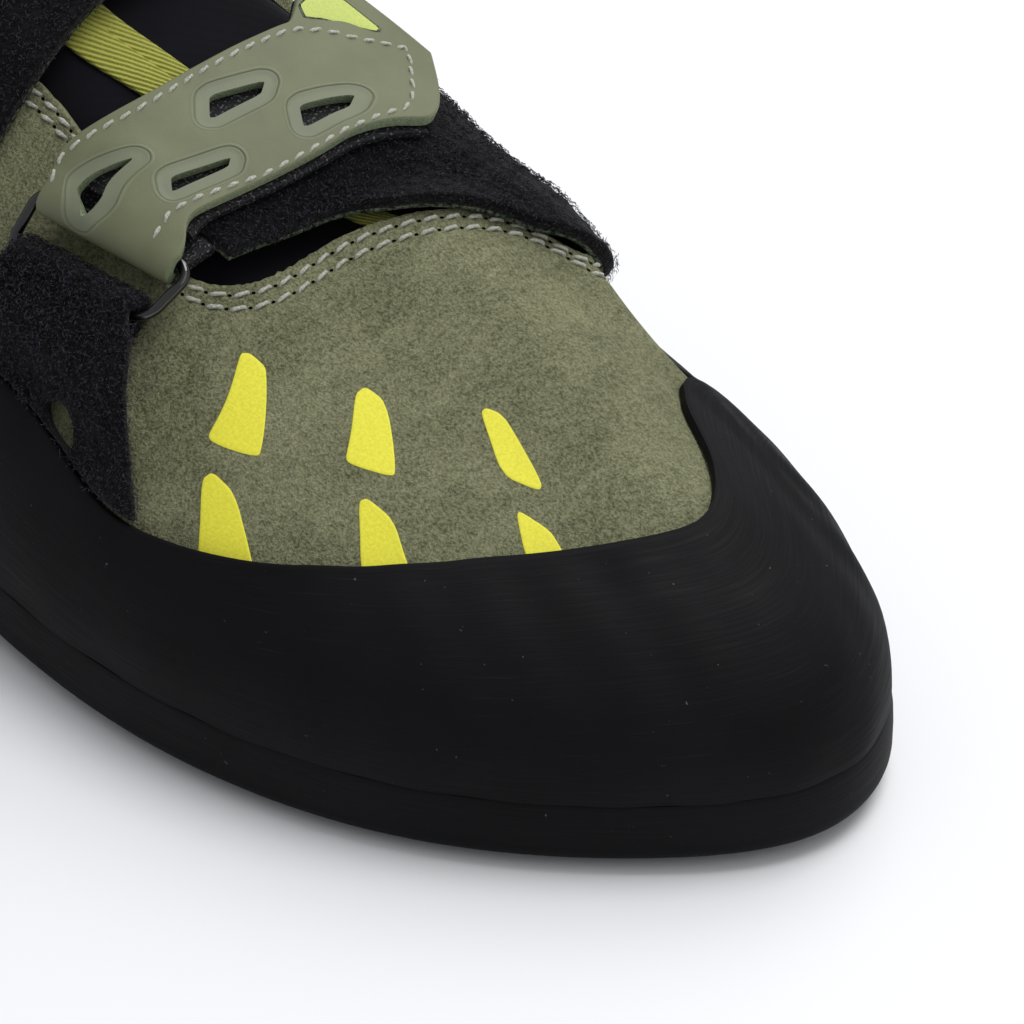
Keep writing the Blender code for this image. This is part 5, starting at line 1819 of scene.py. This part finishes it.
class SHOE_OT_rear_strap(StrapMaker, bpy.types.Operator):
    """Rear strap: the same pieces, fastened from the other side"""

    bl_idname = "shoe.rear_strap"
    bl_label = "Rear strap"

    def execute(self, context):
        sizes, colours = context.scene.shoe_sizes, context.scene.shoe_colours
        patch = RingSeat(REAR_END, REAR_TAB)
        self.band("rear_strap", REAR_BAND, "rear_strap_band", 51, sizes, colours)
        self.hook("rear_strap", REAR_END, "rear_strap_hook", (5 / 14, 13 / 14), colours)
        track = self.end("rear_strap", REAR_END, patch, "rear_strap_end", (), sizes, colours)
        route = self.perimeter(track, REAR_SEAM_START, sizes.strap_inset)
        self.seam("rear_strap_stitching", track, route, sizes, colours)
        self.ring("rear_strap", patch, "rear_ring", colours)
        self.tab("rear", REAR_TAB, patch, "rear_ring_tab", 71, (), (), sizes, colours)
        return {"FINISHED"}


class SHOE_OT_stage(bpy.types.Operator):
    """Pale floor, soft studio light and the camera"""

    bl_idname = "shoe.stage"
    bl_label = "Stage"

    def execute(self, context):
        colours = context.scene.shoe_colours
        bpy.ops.object.select_all(action="DESELECT")
        bpy.ops.mesh.primitive_plane_add(size=FLOOR_SIDE, location=(0.1, 0.0, CAD_BOX[0].z))
        floor = context.object
        floor.name = "studio_floor"
        bpy.ops.object.transform_apply(location=True)
        floor.data.materials.append(finish(matt_studio_paper, colours))
        turn, rise = math.radians(CAMERA_TURN), math.radians(CAMERA_RISE)
        right = Vector((math.cos(turn), math.sin(turn), 0.0))
        back = Vector((math.sin(turn) * math.cos(rise), -math.cos(turn) * math.cos(rise),
                       math.sin(rise)))
        target = Vector(CAMERA_TARGET)
        bpy.ops.object.camera_add(location=target + CAMERA_AWAY * back)
        camera = context.object
        camera.rotation_euler = (-back).to_track_quat("-Z", "Y").to_euler()
        camera.data.lens = CAMERA_LENS
        camera.data.sensor_width = CAMERA_SENSOR
        camera.data.clip_start = 0.01
        context.scene.camera = camera
        level_back = Vector((back.x, back.y, 0.0)).normalized()
        for name, (sideways, towards, up, size, power) in LIGHTS.items():
            place = target + sideways * right + towards * level_back + Vector((0, 0, up))
            self.soft_light(name, place, target, size, power)
        world = bpy.data.worlds.new("studio")
        world.use_nodes = True
        background = world.node_tree.nodes["Background"]
        background.inputs["Color"].default_value = SKY_COLOUR
        background.inputs["Strength"].default_value = SKY_STRENGTH
        context.scene.world = world
        context.scene.view_settings.view_transform = "Standard"
        return {"FINISHED"}

    def soft_light(self, name, place, target, size, power):
        """Round area light aimed at the target."""
        bpy.ops.object.light_add(type="AREA", location=place)
        light = bpy.context.object
        light.name = name
        light.rotation_euler = (target - place).to_track_quat("-Z", "Y").to_euler()
        light.data.shape = "DISK"
        light.data.size = size
        light.data.energy = power


class VIEW3D_PT_shoe(bpy.types.Panel):
    """Steps and settings of the climbing shoe"""

    bl_label = "Climbing shoe"
    bl_idname = "VIEW3D_PT_shoe"
    bl_space_type = "VIEW_3D"
    bl_region_type = "UI"
    bl_category = "Climbing shoe"

    def draw(self, context):
        column = self.layout.column(align=True)
        for step in STEPS:
            column.operator(step.bl_idname)
        for group in (context.scene.shoe_sizes, context.scene.shoe_colours):
            box = self.layout.box()
            for name in group.__annotations__:
                box.prop(group, name)


STEPS = (
    SHOE_OT_stage,
    SHOE_OT_sole,
    SHOE_OT_upper,
    SHOE_OT_rands,
    SHOE_OT_tongue,
    SHOE_OT_front_strap,
    SHOE_OT_rear_strap,
)
CLASSES = (ShoeSizes, ShoeColours, *STEPS, VIEW3D_PT_shoe)


def register():
    for kind in CLASSES:
        bpy.utils.register_class(kind)
    bpy.types.Scene.shoe_sizes = PointerProperty(type=ShoeSizes)
    bpy.types.Scene.shoe_colours = PointerProperty(type=ShoeColours)


def unregister():
    del bpy.types.Scene.shoe_colours
    del bpy.types.Scene.shoe_sizes
    for kind in reversed(CLASSES):
        bpy.utils.unregister_class(kind)


def main():
    register()
    bpy.ops.shoe.stage()
    bpy.ops.shoe.sole()
    bpy.ops.shoe.upper()
    bpy.ops.shoe.rands()
    bpy.ops.shoe.tongue()
    bpy.ops.shoe.front_strap()
    bpy.ops.shoe.rear_strap()


if __name__ == "__main__":
    main()
